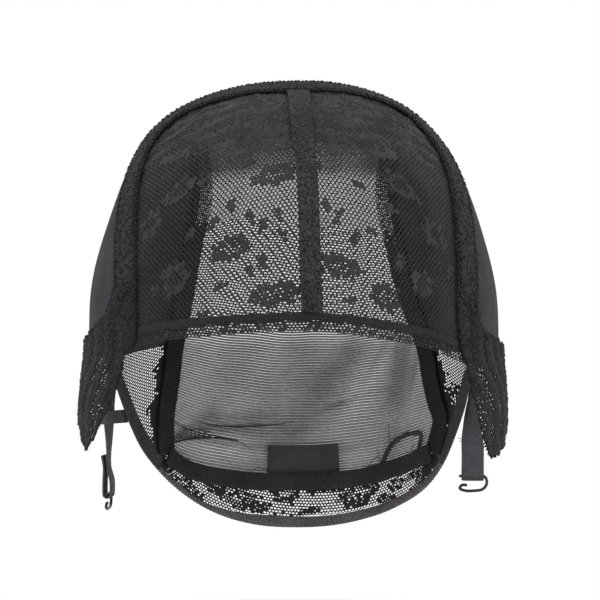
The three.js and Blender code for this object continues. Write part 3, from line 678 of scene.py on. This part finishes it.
def picots(path, start, end, distance, height, pitch, out, slim):
    """Small loops or loose ends along the edge of a strip, which stand out from it."""
    total = length_of(stretch(path, start, end))
    count = max(int(total / pitch), 2)
    middle = start + (end - start) * (np.arange(count) + random.uniform(0.2, 0.8, count)) / count
    d = beside(path, middle, np.full(count, float(distance)))
    up = outward(d)
    side = station(path, middle)[1] * np.sign(distance)
    along = unit(np.cross(up, side))
    size = random.uniform(0.5, 1.4, (count, 1))
    way = side + up * random.uniform(-0.1, 0.7, (count, 1))
    way = way + along * random.normal(0, 0.35, (count, 1))
    mid = height(d) if callable(height) else height
    return grains(cloth_point(d, mid), way * out * size, along * 0.42 * slim, up * 0.3 * slim)


# Front lace
lace_lift, lace_flatten = lace_map = plane(4, 62, 90.0)
flower_rows = [
    (-4.7, 58.3, 8.4, 4.3, 12), (-13.9, 75.6, 8.2, 4.4, 14), (-4.3, 85.6, 9.6, 4.1, 8),
    (-27.5, 82.0, 7.0, 5.8, 40), (10.1, 79.6, 7.8, 4.4, -12), (20.6, 86.2, 6.6, 4.8, -20),
    (-30.4, 61.0, 8.0, 4.4, 30), (-38.0, 69.0, 6.6, 5.4, 40), (28.5, 59.9, 8.4, 4.6, -30),
    (36.5, 71.6, 7.0, 5.4, -40), (30.5, 83.0, 6.0, 4.6, -25),
]
leaf_rows = [
    (-10.0, 68.5, 1.4, 2.9, 10), (-6.9, 70.4, 1.4, 2.7, -30), (-3.7, 67.9, 1.3, 2.4, 30),
    (-6.8, 78.8, 1.4, 2.9, 5), (-14.8, 65.8, 1.3, 2.6, -10), (-16.0, 83.9, 2.9, 1.4, 20),
    (-18.8, 69.6, 2.8, 1.4, 35), (-9.5, 80.6, 1.3, 2.3, -20), (-2.2, 72.8, 1.3, 2.2, 20),
    (10.3, 68.5, 1.5, 2.9, -15), (13.9, 73.4, 1.4, 2.9, -10), (7.8, 66.0, 1.3, 2.2, 20),
    (18.1, 71.9, 2.6, 1.4, -35), (24.6, 78.4, 2.1, 2.8, -20), (12.6, 86.9, 2.8, 1.4, 10),
    (-24.5, 72.3, 2.9, 1.6, 30), (-33.3, 84.5, 2.1, 2.8, 20), (-23.3, 59.0, 2.9, 1.6, 30),
    (16.7, 60.7, 2.8, 1.5, -30), (6.0, 56.0, 1.6, 2.6, 0), (-12.0, 55.0, 2.6, 1.5, 20),
    (24.0, 66.0, 2.8, 1.6, -35), (40.0, 80.0, 2.1, 2.9, -30), (-20.0, 90.0, 2.4, 1.3, 5),
]


def cell_dice(x, y):
    """An even, fixed scatter of numbers from 0 to 1 over the cells."""
    return np.modf(np.abs(np.sin(x * 12.9898 + y * 78.233) * 43758.5453))[0]


def motif_fill(flowers, leaves, flatten, ground=lambda x, y: np.zeros(x.shape)):
    """Where the net is filled with thread: oval flowers with speckled hearts, and leaves."""
    def fill(x, y):
        full = ground(x, y)
        dice = cell_dice(x, y)
        for rows, heart in ((flowers, 0.45), (leaves, 0.0)):
            for turn, fall, long, high, lean in rows:
                mx, my = flatten(towards(turn, fall))
                c, s = math.cos(math.radians(lean)), math.sin(math.radians(lean))
                along = ((x - mx) * c + (y - my) * s) / long
                across = ((y - my) * c - (x - mx) * s) / high
                r, a = np.hypot(along, across), np.arctan2(across, along)
                edge = 0.93 + 0.09 * np.cos(7 * a) if heart else 1.0
                edge = edge + 0.34 * (cell_dice(y, x) - 0.5)
                full = np.where(r < edge, np.where(dice > 0.42, 1.0, 0.6), full)
                full = np.where((r < heart) & (dice > 0.4), 0.3, full)
        return full
    return fill


def lace_ground(x, y):
    d = lace_lift(x, y)
    fall, turn = fall_of(d), turn_of(d) - 4
    dense = 0.66 * smooth((54 - fall) / 9) + 0.62 * smooth((turn - 27) / 9)
    dense = dense + 0.4 * smooth((-turn - 33) / 10) + 0.25 * smooth((62 - fall) / 8) * smooth(
        (np.abs(turn) - 16) / 10)
    dense = dense + 0.3 * (cell_dice(x, y) - 0.5) * (dense > 0.15)
    cloud = np.sin(0.33 * x + 1.7 * np.sin(0.23 * y)) + np.sin(0.8 * y + 1.3 * np.sin(0.15 * x))
    thick = (fall < 53) & (cloud + 3.6 * (cell_dice(y, x) - 0.5) > 0.4)
    return np.where(thick, 1.0, np.clip(dense, 0, 0.84))


def lace_height(d):
    """The upper lace is eased in, so it lies in faint pleats."""
    x, y = lace_flatten(d)
    pleats = np.sin(0.75 * y + 1.6 * np.sin(0.09 * x + 0.4)) + 0.6 * np.sin(0.9 * x + 0.3 * y)
    return 0.6 + 0.24 * pleats * smooth((58 - fall_of(d)) / 10)


def smooth(t):
    t = np.clip(t, 0, 1)
    return t * t * (3 - 2 * t)


def chevron(x, y):
    """The net hangs from the middle, so its rows fall away to both sides."""
    return x, y - 0.1 * np.abs(x) - 0.0032 * x * x


def lace_half(side):
    shoulder, last = (left_shoulder, 0) if side < 0 else (right_shoulder, 1)
    top = stretch(seam, middle_share, shoulder)
    bottom = stretch(hem_inner, hem_middle, last)
    right = ending_at(stretch(seam, shoulder, last), hem_inner(last))
    fill = motif_fill(flower_rows, leaf_rows, lace_flatten, lace_ground)
    return panel_net(lace_map, [top, right, bottom, centre], lace_pitch, 0, fill, lace_height,
                     hole=(0.61, 0.74), warp=chevron)


for side, word in ((-1, "left"), (1, "right")):
    make(f"front_lace_{word}_net", lace_half(side), "lace", [f"front_lace_{word}"],
         filled=True)


def hem_fill(x, y):
    folded = y < -4.4 + 0.3 * np.sin(x * 0.7)
    return np.where(folded, 1.0, np.where(cell_dice(x, y) > 0.12, 0.3 * cell_dice(y, x), 1.0))


make("front_hem_net", strip_net(front_rim, 0, 1, -front_hem_width, -0.1, hem_pitch, hem_fill, 0.5,
                                hole=(0.6, 0.7)), "lace", ["front_hem"])


# Stretch sides, with fine ribs from the crown to the ear
def side_lines(back, ear_inner, ribbon_share, shoulder, seam_end, net_turn):
    corner = share_at_turn(ear_inner, net_turn)
    foot = back(panel_foot)
    directions = [foot, unit(foot + ear_inner(corner))]
    directions += [ear_inner(corner * (1 - k / 16)) for k in range(17)]
    low_line = Line(directions)
    side = patch(stretch(seam, ribbon_share, shoulder), low_line, stretch(back, 0, panel_foot),
                 stretch(seam, shoulder, seam_end))
    low_corner = corner + 0.06
    around = [stretch(low_line, 0, share_at_turn(low_line, net_turn)),
              stretch(ear_inner, corner, low_corner), stretch(ear_inner, 1, low_corner),
              stretch(back, panel_foot, 1)]
    return side, around


def ribs_between(place, half, height, crown):
    """Closed four-sided ribs side by side: place gives the directions a step aside of each."""
    sections = ((-half, 0), (0, crown), (half, 0), (0, -crown))
    ring = np.stack([cloth_point(place(aside), height + rise) for aside, rise in sections], 2)
    count, length = ring.shape[:2]
    ids = np.arange(count * length * 4).reshape(count, length, 4)
    after = np.roll(ids, -1, axis=2)
    quads = faces_of(ids[:, :-1], after[:, :-1], after[:, 1:], ids[:, 1:])
    ends = np.concatenate([ids[:, 0, ::-1], ids[:, -1]])
    return ring.reshape(-1, 3), turned_out(ring.reshape(-1, 3), [np.concatenate([quads, ends])])


def side_piece(word, blend):
    """Fine ribs that lap over each other, each wavering a little."""
    ribs, rows = 240, 46
    order = np.arange(ribs)[:, None]
    v = np.linspace(0, 1, rows + 1)[None, :] + np.zeros((ribs, 1))
    waver = 0.03 * np.sin(2 * math.pi * (11 * v + cell_dice(order, 3.0)))
    u = np.clip((order + 0.5 + waver) / ribs, 0, 1)
    shape = ribs_between(lambda aside: blend(np.clip(u + aside, 0, 1), v), 0.6 / ribs,
                         0.5 - 0.04 * (order % 2), 0.16)
    make(f"side_panel_{word}_knit", shape, "ribbed", [f"side_panel_{word}"])


side_left, around_left = side_lines(left_back, left_ear_inner, left_ribbon_share, left_shoulder,
                                    0, -118)
side_right, around_right = side_lines(right_back, right_ear_inner, right_ribbon_share,
                                      right_shoulder, 1, -242)
side_piece("left", side_left)
side_piece("right", side_right)


def pulled(lean, along, across):
    """Net drawn longer one way, so that its holes become slits."""
    c, s = math.cos(math.radians(lean)), math.sin(math.radians(lean))
    return lambda x, y: (x * along * c - y * across * s, x * along * s + y * across * c)


for side, around, back, node, lean, scrunched in (
        (-1, around_left, left_back, "ear_net_left", 145, 130),
        (1, around_right, right_back, "ear_net_right", 28, 109)):
    lift, flatten = plane(side * 120, 100)
    bx, by = flatten(stretch(back, panel_foot, 1)(np.linspace(0, 1, 40)))

    def ragged(x, y):
        gap = np.hypot(x[:, None] - bx, y[:, None] - by).min(1)
        edge = back_ribbon_width / 2 + 1.8 + 1.6 * np.sin(0.45 * y) + 3 * (cell_dice(x, y) - 0.5)
        low = (fall_of(lift(x, y)) > scrunched) & (cell_dice(y, x) > 0.35)
        return np.where((gap < edge) | low, 1.0, 0.0)
    shape = panel_net((lift, flatten), around, ear_net_pitch, 0, ragged, 0.5, hole=(0.64, 0.44),
                      warp=pulled(lean, 1.5, 0.9))
    make(node + "_mesh", shape, "lace", [node])


# The grey mesh of the back: fine ribs across it, more open from zone to zone
back_blend = patch(stretch(seam, left_ribbon_share, right_ribbon_share), nape_seam, left_back,
                   right_back)


crease_rows = [
    (-161, 117.1, 10, 0.7, 2, 1.0), (-172, 116.6, 8, 0.7, -4, 0.8), (-156, 120.6, 12, 1.1, -4, 0.9),
    (-144, 122.6, 5, 1.0, -30, 0.9), (150, 98.5, 5, 0.8, 70, 0.9), (147.4, 105, 6, 0.9, 75, 0.8),
    (158, 101, 8, 0.8, 60, 0.6), (168, 112, 10, 0.8, 15, 0.5), (-150, 117.8, 6, 0.9, 25, 0.8),
    (-140, 104, 8, 0.9, 80, 0.6), (172, 122.5, 12, 0.8, 8, 0.4),
]


def back_mesh():
    steps = 68
    edges = np.concatenate([np.linspace(0, 0.56, 231), np.linspace(0.56, 1, 97)[1:]])
    row, pitch = ((edges[1:] + edges[:-1]) / 2)[:, None], np.diff(edges)[:, None]
    ribs = len(row)
    u = np.linspace(0, 1, steps + 1)[None, :] + np.zeros((ribs, 1))
    waver = 0.005 * np.sin(8 * u + 5 * row) + 0.0016 * np.sin(31 * u + 17 * row)
    row = row + 4 * row * (1 - row) * waver
    d = back_blend(u, row)
    cover = np.interp(fall_of(d), [40, 51, 55, 92, 99, 112], [0.5, 0.47, 0.33, 0.33, 0.45, 0.465])
    half = np.minimum(cover + 0.07 * swell(d, fold_rows + crease_rows), 0.5) * pitch
    ease = 0.3 + 0.3 * np.sin(11 * u + 9 * row) * np.sin(5 * u - 14 * row)
    ease = ease + 0.7 * swell(d, crease_rows) * 4 * u * (1 - u)
    return ribs_between(lambda aside: back_blend(u, np.clip(row + aside, 0, 1)), half, 0.4 + ease,
                        0.22)


make("back_panel_mesh", back_mesh(), "mesh", ["back_panel"])

# Painted shade in the pinched creases of the mesh: thin dark threads along them stand in for the
# shadow there; lines of directions, and how thick each is at its middle
crease_shadow_lines = [
    ([(-152.5, 116.7), (-160.2, 117.3), (-168.4, 117.2), (-175, 116.8), (-180, 116.1)], 0.34),
    ([(-143, 115.9), (-147.8, 117.9), (-153, 119.4)], 0.26),
    ([(-141.5, 122.9), (-147.5, 121.3), (-157.2, 120.3), (-164.5, 120.6), (-168.5, 122.2)], 0.45),
]
# Ever thinner dark threads stepped away from the third crease: a painted soft shadow of the fold
for k in range(1, 9):
    shadow_fan = [(-141.5 - 0.5 * k, 123 - 0.3 * k), (-147.5, 121.4 - 0.28 * k),
           (-157.2, 120.4 - 0.25 * k), (-164 + k, 120.6 - 0.2 * k)]
    crease_shadow_lines.append((shadow_fan, 0.2 - 0.012 * k))
paths, sizes = [], []
for rows, size in crease_shadow_lines:
    run = np.linspace(0, 1, 25)
    line = Line([towards(*row) for row in rows])
    paths.append(cloth_point(line(run), 0.1))
    sizes.append(size * (0.12 + 0.88 * np.sin(run * math.pi)))
# The dark threads are painted crease shadows, in the side panels' dark knit colour
make("back_panel_crease_shadows", tubes(paths, sizes, 5), "ribbed")

lift, flatten = plane(180, 131)
nape_left, nape_right = (Line([nape_seam(end), nape_hem_inner(end)]) for end in (0, 1))
nape_flowers = [(-164, 131, 7.6, 3.6, 8), (-177.5, 130.4, 4.8, 2.6, 0),
                (162.6, 130.8, 7.6, 3.4, -6),
                (-149, 130, 4.4, 2.4, 10), (151, 129.6, 3.0, 1.8, 12)]
nape_leaves = [(-156.5, 129.6, 3.4, 1.3, 20), (-170.5, 133, 3.4, 1.3, -20),
               (172.5, 129.8, 5.6, 1.1, 4), (154, 132, 3.4, 1.2, 20),
               (-152, 132.4, 2.6, 1.2, -30), (146, 128.4, 3.0, 1.1, 0),
               (176, 133.6, 4.0, 1.0, -8), (-143, 129.6, 2.6, 1.2, 0)]


def nape_fill(x, y):
    full = motif_fill(nape_flowers, nape_leaves, flatten)(x, y)
    away = 180 - np.abs(turn_of(lift(x, y)))
    full = np.where(away + 3 * (cell_dice(x, y) - 0.5) > 35, 1.0, full)
    dice = cell_dice(y, x)
    thick = np.where(dice > 0.5, 1.0, 0.48)
    open_net = np.where(dice < 0.02, 1.0, 0.15 * cell_dice(x, y))
    return np.where(away > 38, 1.0, np.where(full > 0.5, thick, open_net))


make("nape_lace_net", panel_net((lift, flatten), [nape_seam, nape_right, nape_hem_inner, nape_left],
                                nape_lace_pitch, 4, nape_fill, 0.5, hole=(0.68, 0.54), jitter=0.08,
                                warp=pulled(0, 1.08, 0.9)), "lace", ["nape_lace"])


# Elastic edges and the nape band
elastic_piece("ear_edge_left", left_rim, 0, ear_edge_width)
elastic_piece("ear_edge_right", right_rim, -ear_edge_width, 0)
elastic_piece("nape_hem", nape_rim, 0, nape_hem_width, width=nape_hem_share, look="nape", pitch=1.7,
              rib=0.2)
half_band = nape_band_width / 2
band_top = -inner_gap - ribbon_wall - layer_gap
elastic_piece("nape_band", nape_seam, -half_band, half_band, band_top - elastic_wall, band_top,
              look="band")

# Ribbons
left_band_end, right_band_end = 0.062, 0.952
band_height = ribbon_bottom + ribbon_wall / 2


def rough(d, middle, amount):
    """A height that swells and sinks from thread to thread."""
    return middle + amount * np.sin(390 * d[..., 0] + 40 * d[..., 1]) * np.sin(
        350 * d[..., 2] + 120 * d[..., 1])


half_seam = seam_band_width / 2
band_run = (seam, left_band_end, right_band_end)
make("seam_band_weave", strip_net(*band_run, -half_seam, half_seam, band_pitch,
                                  lambda x, y: np.where(cell_dice(x, y) > 0.42, 1.0, 0.3),
                                  lambda d: rough(d, band_height, 0.24), thickness=0.7),
     "seam", ["seam_band"])
make("seam_band_stitches", join([
    stitches(*band_run, edge, band_height + 0.55, 1.6, swing=0.9, thick=0.36)
    for edge in (-half_seam + 1.5, half_seam - 1.5)]), "thread")
make("seam_band_edges", join([
    picots(*band_run, edge, band_height, pitch, out, slim)
    for edge in (-half_seam - 0.1, half_seam + 0.1)
    for pitch, out, slim in ((1.5, 1.1, 1.2), (1.0, 1.2, 0.4))]), "seam")


def centre_width(share):
    return np.interp(share * 3, [0, 1, 2, 3], centre_widths)


centre_start = (seam_band_width / 2 + seam_gap / 2) / length_of(centre)
centre_end = 1 + front_hem_width / 3 / length_of(centre)
ribbon_piece("centre_ribbon_weave", centre, centre_start, centre_end, -centre_ribbon_width / 2,
             centre_ribbon_width / 2, ribbon_bottom, ribbon_bottom + ribbon_wall, "ribbon",
             ["centre_ribbon"], 110, 16, width=centre_width)
for path, node in ((left_back, "back_ribbon_left"), (right_back, "back_ribbon_right")):
    closing = length_of(path) * 0.56

    def ribbon_fill(x, y):
        thick = smooth((x - closing) / 14 + 0.5)
        sparse = 0.35 * thick + 0.1 * cell_dice(y, x)
        return np.where(cell_dice(x, y) < thick * 1.2 - 0.1, 1.0, sparse)
    shape = strip_net(path, 0, 1, -back_ribbon_width / 2, back_ribbon_width / 2, band_pitch,
                      ribbon_fill, -inner_gap - ribbon_wall / 2, thickness=0.7, hole=(0.66, 0.72))
    make(node + "_weave", shape, "seam", [node])

label_middle = share_at_turn(nape_seam, 177.5)
label_reach = label_width / 2 / length_of(nape_seam)
label_foot = half_band - label_tuck
ribbon_piece("label_patch_weave", nape_seam, label_middle - label_reach, label_middle + label_reach,
             label_foot, label_foot + label_height, -inner_gap - label_wall, -inner_gap, "label",
             ["label_patch"], 40, 16, rib=0.02)
loop_foot = half_band - nape_loop_width / 2
loop_path = line_through(beside(nape_seam, 0.77, loop_foot),
                         [(152.8, 121.9), (149.5, 120.4), (145.5, 119.8), (142.4, 120.2)],
                         beside(nape_seam, 0.93, loop_foot))
elastic_piece("nape_loop", loop_path, -nape_loop_width / 2, nape_loop_width / 2,
              -inner_gap - ribbon_wall, -inner_gap, pitch=0.9)


# Ear tabs
def tab_piece(node, tab, band_end, flare, side):
    front_top = beside(seam, band_end, seam_band_width / 2)
    rear_top = beside(seam, band_end, -seam_band_width / 2)
    tip, rear = towards(*tab["tip"]), towards(*tab["rear_corner"])
    top = Line([front_top, seam(band_end), rear_top])
    bottom = line_through(tip, tab["rear"][::-1], rear)
    left = line_through(front_top, tab["front"], tip)
    right = line_through(rear_top, tab["upper"], rear)
    lift, flatten = plane(side * 62, 106)

    def wavy(x, y):
        return np.sin(0.55 * x * side + 0.3 * y + 1.8 * np.sin(0.2 * y))

    def fill(x, y):
        full = np.where(wavy(x, y) + 1.2 * (cell_dice(x, y) - 0.5) > -0.5, 1.0, 0.66)
        near = side * (turn_of(lift(x, y)) - side * 50) < 5
        return np.where(near & (cell_dice(y, x) > 0.6), 0.6, full)

    def height(d):
        x, y = flatten(d)
        drape = tab_bottom + cloth_wall / 2 + flare * smooth((fall_of(d) - 96) / 24)
        return rough(d, drape, 0.22) + 0.26 * wavy(x, y) + 0.16 * np.sin(1.9 * x - 1.3 * y)
    shape = panel_net((lift, flatten), [top, right, bottom, left], tab_pitch, 20 * side, fill,
                      height, thickness=0.55)
    make(node + "_lace", shape, "tab", [node])
    make(node + "_lace_edge", join([
        picots(line, 0.0, 1.0, distance, height, pitch, out, slim)
        for line in (left, bottom, right) for distance in (-0.15, 0.15)
        for pitch, out, slim in ((1.5, 0.7, 1.2), (2.4, 0.9, 0.4))]), "tab")


tab_piece("ear_tab_left", left_tab, left_band_end, left_tab_flare, -1)
tab_piece("ear_tab_right", right_tab, right_band_end, right_tab_flare, 1)


# Straps, keeper and hooks
def tape_points(places, steps, thickness, rib, parts=8):
    """The two faces of a tape through rows of middle, way across and width."""
    middles = np.array([p[0] for p in places])
    middle = curve_points(middles, False, steps)
    fine = curve_points(middles, False, steps * 8)
    tangent = unit(np.gradient(fine, axis=0))[::8]
    at = np.arange(steps + 1) / steps * (len(places) - 1)
    index = np.minimum(at.astype(int), len(places) - 2)
    w = (at - index)[:, None]
    acrosses = np.array([p[1] for p in places])
    widths = np.array([p[2] for p in places])
    across = unit(acrosses[index] * (1 - w) + acrosses[index + 1] * w)
    half = (widths[index] * (1 - w[:, 0]) + widths[index + 1] * w[:, 0]) / 2
    normal = unit(np.cross(across, tangent))
    place = np.linspace(-1, 1, parts + 1)
    wave = rib * np.cos(np.arange(steps + 1) * math.pi)[:, None]
    crown = thickness * (0.5 - 0.16 * np.abs(place) ** 6)[None, :] + wave
    line = middle[:, None] + across[:, None] * (half[:, None] * place[None, :])[..., None]
    return (line + normal[:, None] * crown[..., None], line - normal[:, None] * crown[..., None])


def strap_places(path, turn, rows, length, bow, clearance, side):
    stand_off = elastic_wall + layer_gap + strap_wall / 2 + clearance
    seat = beside(path, share_at_turn(path, turn), -side * ear_edge_width / 2)
    top = cloth_point(seat, stand_off)
    places = []
    for drop, out, face in rows:
        angle = math.radians(face)
        middle = top + np.array([side * out * strap_width, 0, -drop * length])
        across = np.array([math.cos(angle), -side * math.sin(angle), 0])
        places.append((middle, across, strap_width * (1 + (strap_taper - 1) * drop)))
    middle, across, width = places[-1]
    inner_face = np.array([across[1], -across[0], 0])
    bar = np.array([middle[0], middle[1], top[2] - length])
    round_bar = wire_thickness / 2 + layer_gap + strap_wall / 2
    layer = strap_wall + layer_gap
    opening = middle[2] - bar[2]

    def loop(inward, up):
        return bar + inner_face * inward + np.array([0, 0, up]), across, width
    places.append(loop(bow, opening / 2))
    for k in range(loop_turns + 1):
        angle = k / loop_turns * math.pi
        places.append(loop(round_bar * math.cos(angle), -round_bar * math.sin(angle)))
    places.append(loop(-bow, opening / 2))
    places.append(loop(-layer, opening))
    places.append(loop(-layer - strap_end_lift, opening + strap_end_length))
    return places, bar, across


left_strap, left_bar, left_across = strap_places(
    left_rim, -118.5,
    [(0, 0, 72), (0.2, 0.14, 69), (0.35, 0.15, 71), (0.53, 0.14, 80), (0.66, 0.15, 86),
     (0.77, 0.16, 84)], 47.0, 1.4, 0.6, -1)
right_strap, right_bar, right_across = strap_places(
    right_rim, -239,
    [(0, 0, 84), (0.2, -0.05, 78), (0.34, -0.06, 64), (0.5, -0.05, 46), (0.66, -0.03, 20),
     (0.78, -0.02, 8)], 38.4, 0.9, 1.4, 1)
for places, name in ((left_strap, "strap_left"), (right_strap, "strap_right")):
    shape = wall(*tape_points(places, 170, strap_wall, 0.05))
    make(name + "_tape", shape, "strap", [name], sharp=60)

hook_rows = [(-0.5, 0), (0, 0), (0.41, 0), (0.5, 0.2), (0.5, 0.6), (0.36, 0.93), (0.08, 1.04),
             (-0.28, 1.04), (-0.47, 0.88), (-0.4, 0.66), (-0.2, 0.64)]
for bar, across, name in ((left_bar, left_across, "hook_left"),
                          (right_bar, right_across, "hook_right")):
    spots = [bar + across * a * hook_width - np.array([0, 0, d * hook_drop]) for a, d in hook_rows]
    path = curve_points(spots, False, 90)
    size = np.full(91, wire_thickness / 2)
    size[0] = size[-1] = wire_thickness * 0.36
    make(name + "_wire", tubes([path], [size], 14), "wire", [name])

kept, kept_across, kept_width = left_strap[2]
keeper_seat = beside(left_rim, share_at_turn(left_rim, -126.3), ear_edge_width / 3)
strap_face = np.array([-kept_across[1], kept_across[0], 0])
face_gap = strap_wall / 2 + layer_gap + ribbon_wall / 2
beyond = kept_width / 2 + layer_gap + ribbon_wall / 2
start = cloth_point(keeper_seat, elastic_wall + layer_gap + ribbon_wall)
start[2] = kept[2]
upright = np.array([0, 0, 1.0])
keeper = [(start, upright, keeper_height)]
for along, out in ((kept_width / 4, -face_gap), (-kept_width / 4, -face_gap), (-beyond, -face_gap),
                   (-beyond, keeper_end)):
    keeper.append((kept + kept_across * along + strap_face * out, upright, keeper_height))
make("strap_keeper_left_tape", wall(*tape_points(keeper, 40, ribbon_wall, 0.03)), "strap",
     ["strap_keeper_left"], sharp=60)


# The doubled edge of the hem, seams sewn by hand, and loose thread ends
ribbon_piece("front_hem_fold", front_rim, 0.004, 0.996, -front_hem_width - 0.6, -4.3, 0.9, 1.34,
             "seam", [], 260, 6, rib=0.12)
make("front_hem_stitches", stitches(front_rim, 0.004, 0.996, -4.7, 1.42, 1.5, 1.0, thick=0.16),
     "thread")
make("nape_band_stitches", join([
    stitches(nape_seam, 0.03, 0.97, edge, band_top - elastic_wall - 0.1, 2.4, 1.5)
    for edge in (-half_band + 0.8, half_band - 0.8)]), "strap")


def loose(direction, height, reaches, way):
    """A loose thread end that curls away from one place on the cloth."""
    base = cloth_point(towards(*direction)[None, :], height)[0]
    run = np.linspace(0, 1, 7)[:, None]
    way = np.asarray(way, float)
    curl = np.array([0.0, 0.0, 1.0]) * np.sin(run * 2.6) * reaches * 0.3
    return base + way * run * reaches + curl + random.normal(0, 0.12, (7, 3)) * run


paths = []
for turn, fall, reaches, way in (
        (191.9, 126.6, 5, (0.9, -0.2, 0.1)), (178.6, 126.9, 4, (-0.8, -0.2, -0.3)),
        (186, 127.2, 5, (-0.9, -0.1, 0.3)), (158.8, 126.0, 7, (0.7, -0.3, 0.4)),
        (152.1, 122.2, 8, (-0.1, -0.2, 1.0)), (149.0, 124.5, 7, (0.9, -0.3, -0.1)),
        (155.0, 125.5, 6, (-0.3, -0.2, 0.8)), (144.5, 123.5, 6, (0.6, -0.3, 0.3)),
        (198.0, 125.4, 5, (-0.8, -0.3, 0.2)), (170.0, 127.0, 5, (0.9, -0.2, 0.2))):
    paths.append(loose((turn, fall), band_top - elastic_wall - 0.2, reaches, way))
for places, spot, ends in ((left_strap, 5, 9), (right_strap, 4, 7)):
    middle, across, width = places[spot]
    for _ in range(ends):
        side = random.choice([-1, 1])
        start = middle + across * side * width * 0.47 + np.array([0, 0, random.uniform(-1.5, 2.5)])
        way = across * side + np.array([0, random.uniform(-0.6, 0.2), random.uniform(-0.7, 0.9)])
        run = np.linspace(0, 1, 5)[:, None]
        paths.append(start + way * run * random.uniform(0.7, 2.0))
make("loose_threads", tubes(paths, [0.13] * len(paths), 4), "thread")

middle, across, width = right_strap[4]
rows = []
for share in np.linspace(-0.42, 0.42, 6):
    rows.append(middle + across * width * share + np.array([0, 0, 0.9 * share]))
front = unit(np.cross(across, [0, 0, 1.0]))
front = front * -np.sign(front[1]) * (strap_wall / 2 + 0.08)
rows = np.array(rows)
shape = grains(rows + front, np.tile(across * 0.62 + np.array([0, 0, 0.12]), (6, 1)),
               np.tile([0, 0, 0.16], (6, 1)), np.tile(front * 0.25, (6, 1)))
make("strap_right_stitches", shape, "knot")

# Floor, light and camera
angle = np.linspace(0, 2 * math.pi, 97)[:-1]
floor_mesh = bpy.data.meshes.new("floor")
floor_mesh.from_pydata([(0.5 * math.cos(a), 0.5 * math.sin(a), -0.26) for a in angle], [],
                       [list(range(96))])
floor_material = bpy.data.materials.new("floor")
floor_material.use_nodes = True
floor_shader = floor_material.node_tree.nodes["Principled BSDF"]
floor_shader.inputs["Base Color"].default_value = (0.82, 0.82, 0.82, 1)
floor_shader.inputs["Roughness"].default_value = 0.8
floor_mesh.materials.append(floor_material)
floor = bpy.data.objects.new("floor", floor_mesh)
bpy.context.scene.collection.objects.link(floor)

world = bpy.context.scene.world or bpy.data.worlds.new("studio")
bpy.context.scene.world = world
world.use_nodes = True
backdrop = world.node_tree.nodes["Background"]
backdrop.inputs["Color"].default_value = (1, 1, 1, 1)
backdrop.inputs["Strength"].default_value = 1.0


def soft_light(name, place, aim, size, power):
    data = bpy.data.lights.new(name, "AREA")
    data.shape = "DISK"
    data.size = size
    data.energy = power
    light = bpy.data.objects.new(name, data)
    light.location = place
    way = np.array(aim, float) - np.array(place, float)
    yaw = math.atan2(way[1], way[0]) - math.pi / 2
    pitch = math.atan2(math.hypot(way[0], way[1]), -way[2])
    light.rotation_euler = (pitch, 0, yaw)
    bpy.context.scene.collection.objects.link(light)


soft_light("key_light", (-0.5, -0.8, 0.7), (0, 0, -0.08), 0.6, 2.0)
soft_light("fill_light", (0.7, -0.6, 0.3), (0, 0, -0.08), 0.6, 1.0)

focal_pixels, picture_pixels = 2353.6, 600.0
camera_data = bpy.data.cameras.new("camera")
camera_data.sensor_width = 36.0
camera_data.lens = camera_data.sensor_width * focal_pixels / picture_pixels
camera = bpy.data.objects.new("camera", camera_data)
camera.location = (0.0023, -0.9, -0.082)
camera.rotation_euler = (math.radians(90), 0, 0)
bpy.context.scene.collection.objects.link(camera)
bpy.context.scene.camera = camera
bpy.context.scene.view_settings.view_transform = "Standard"
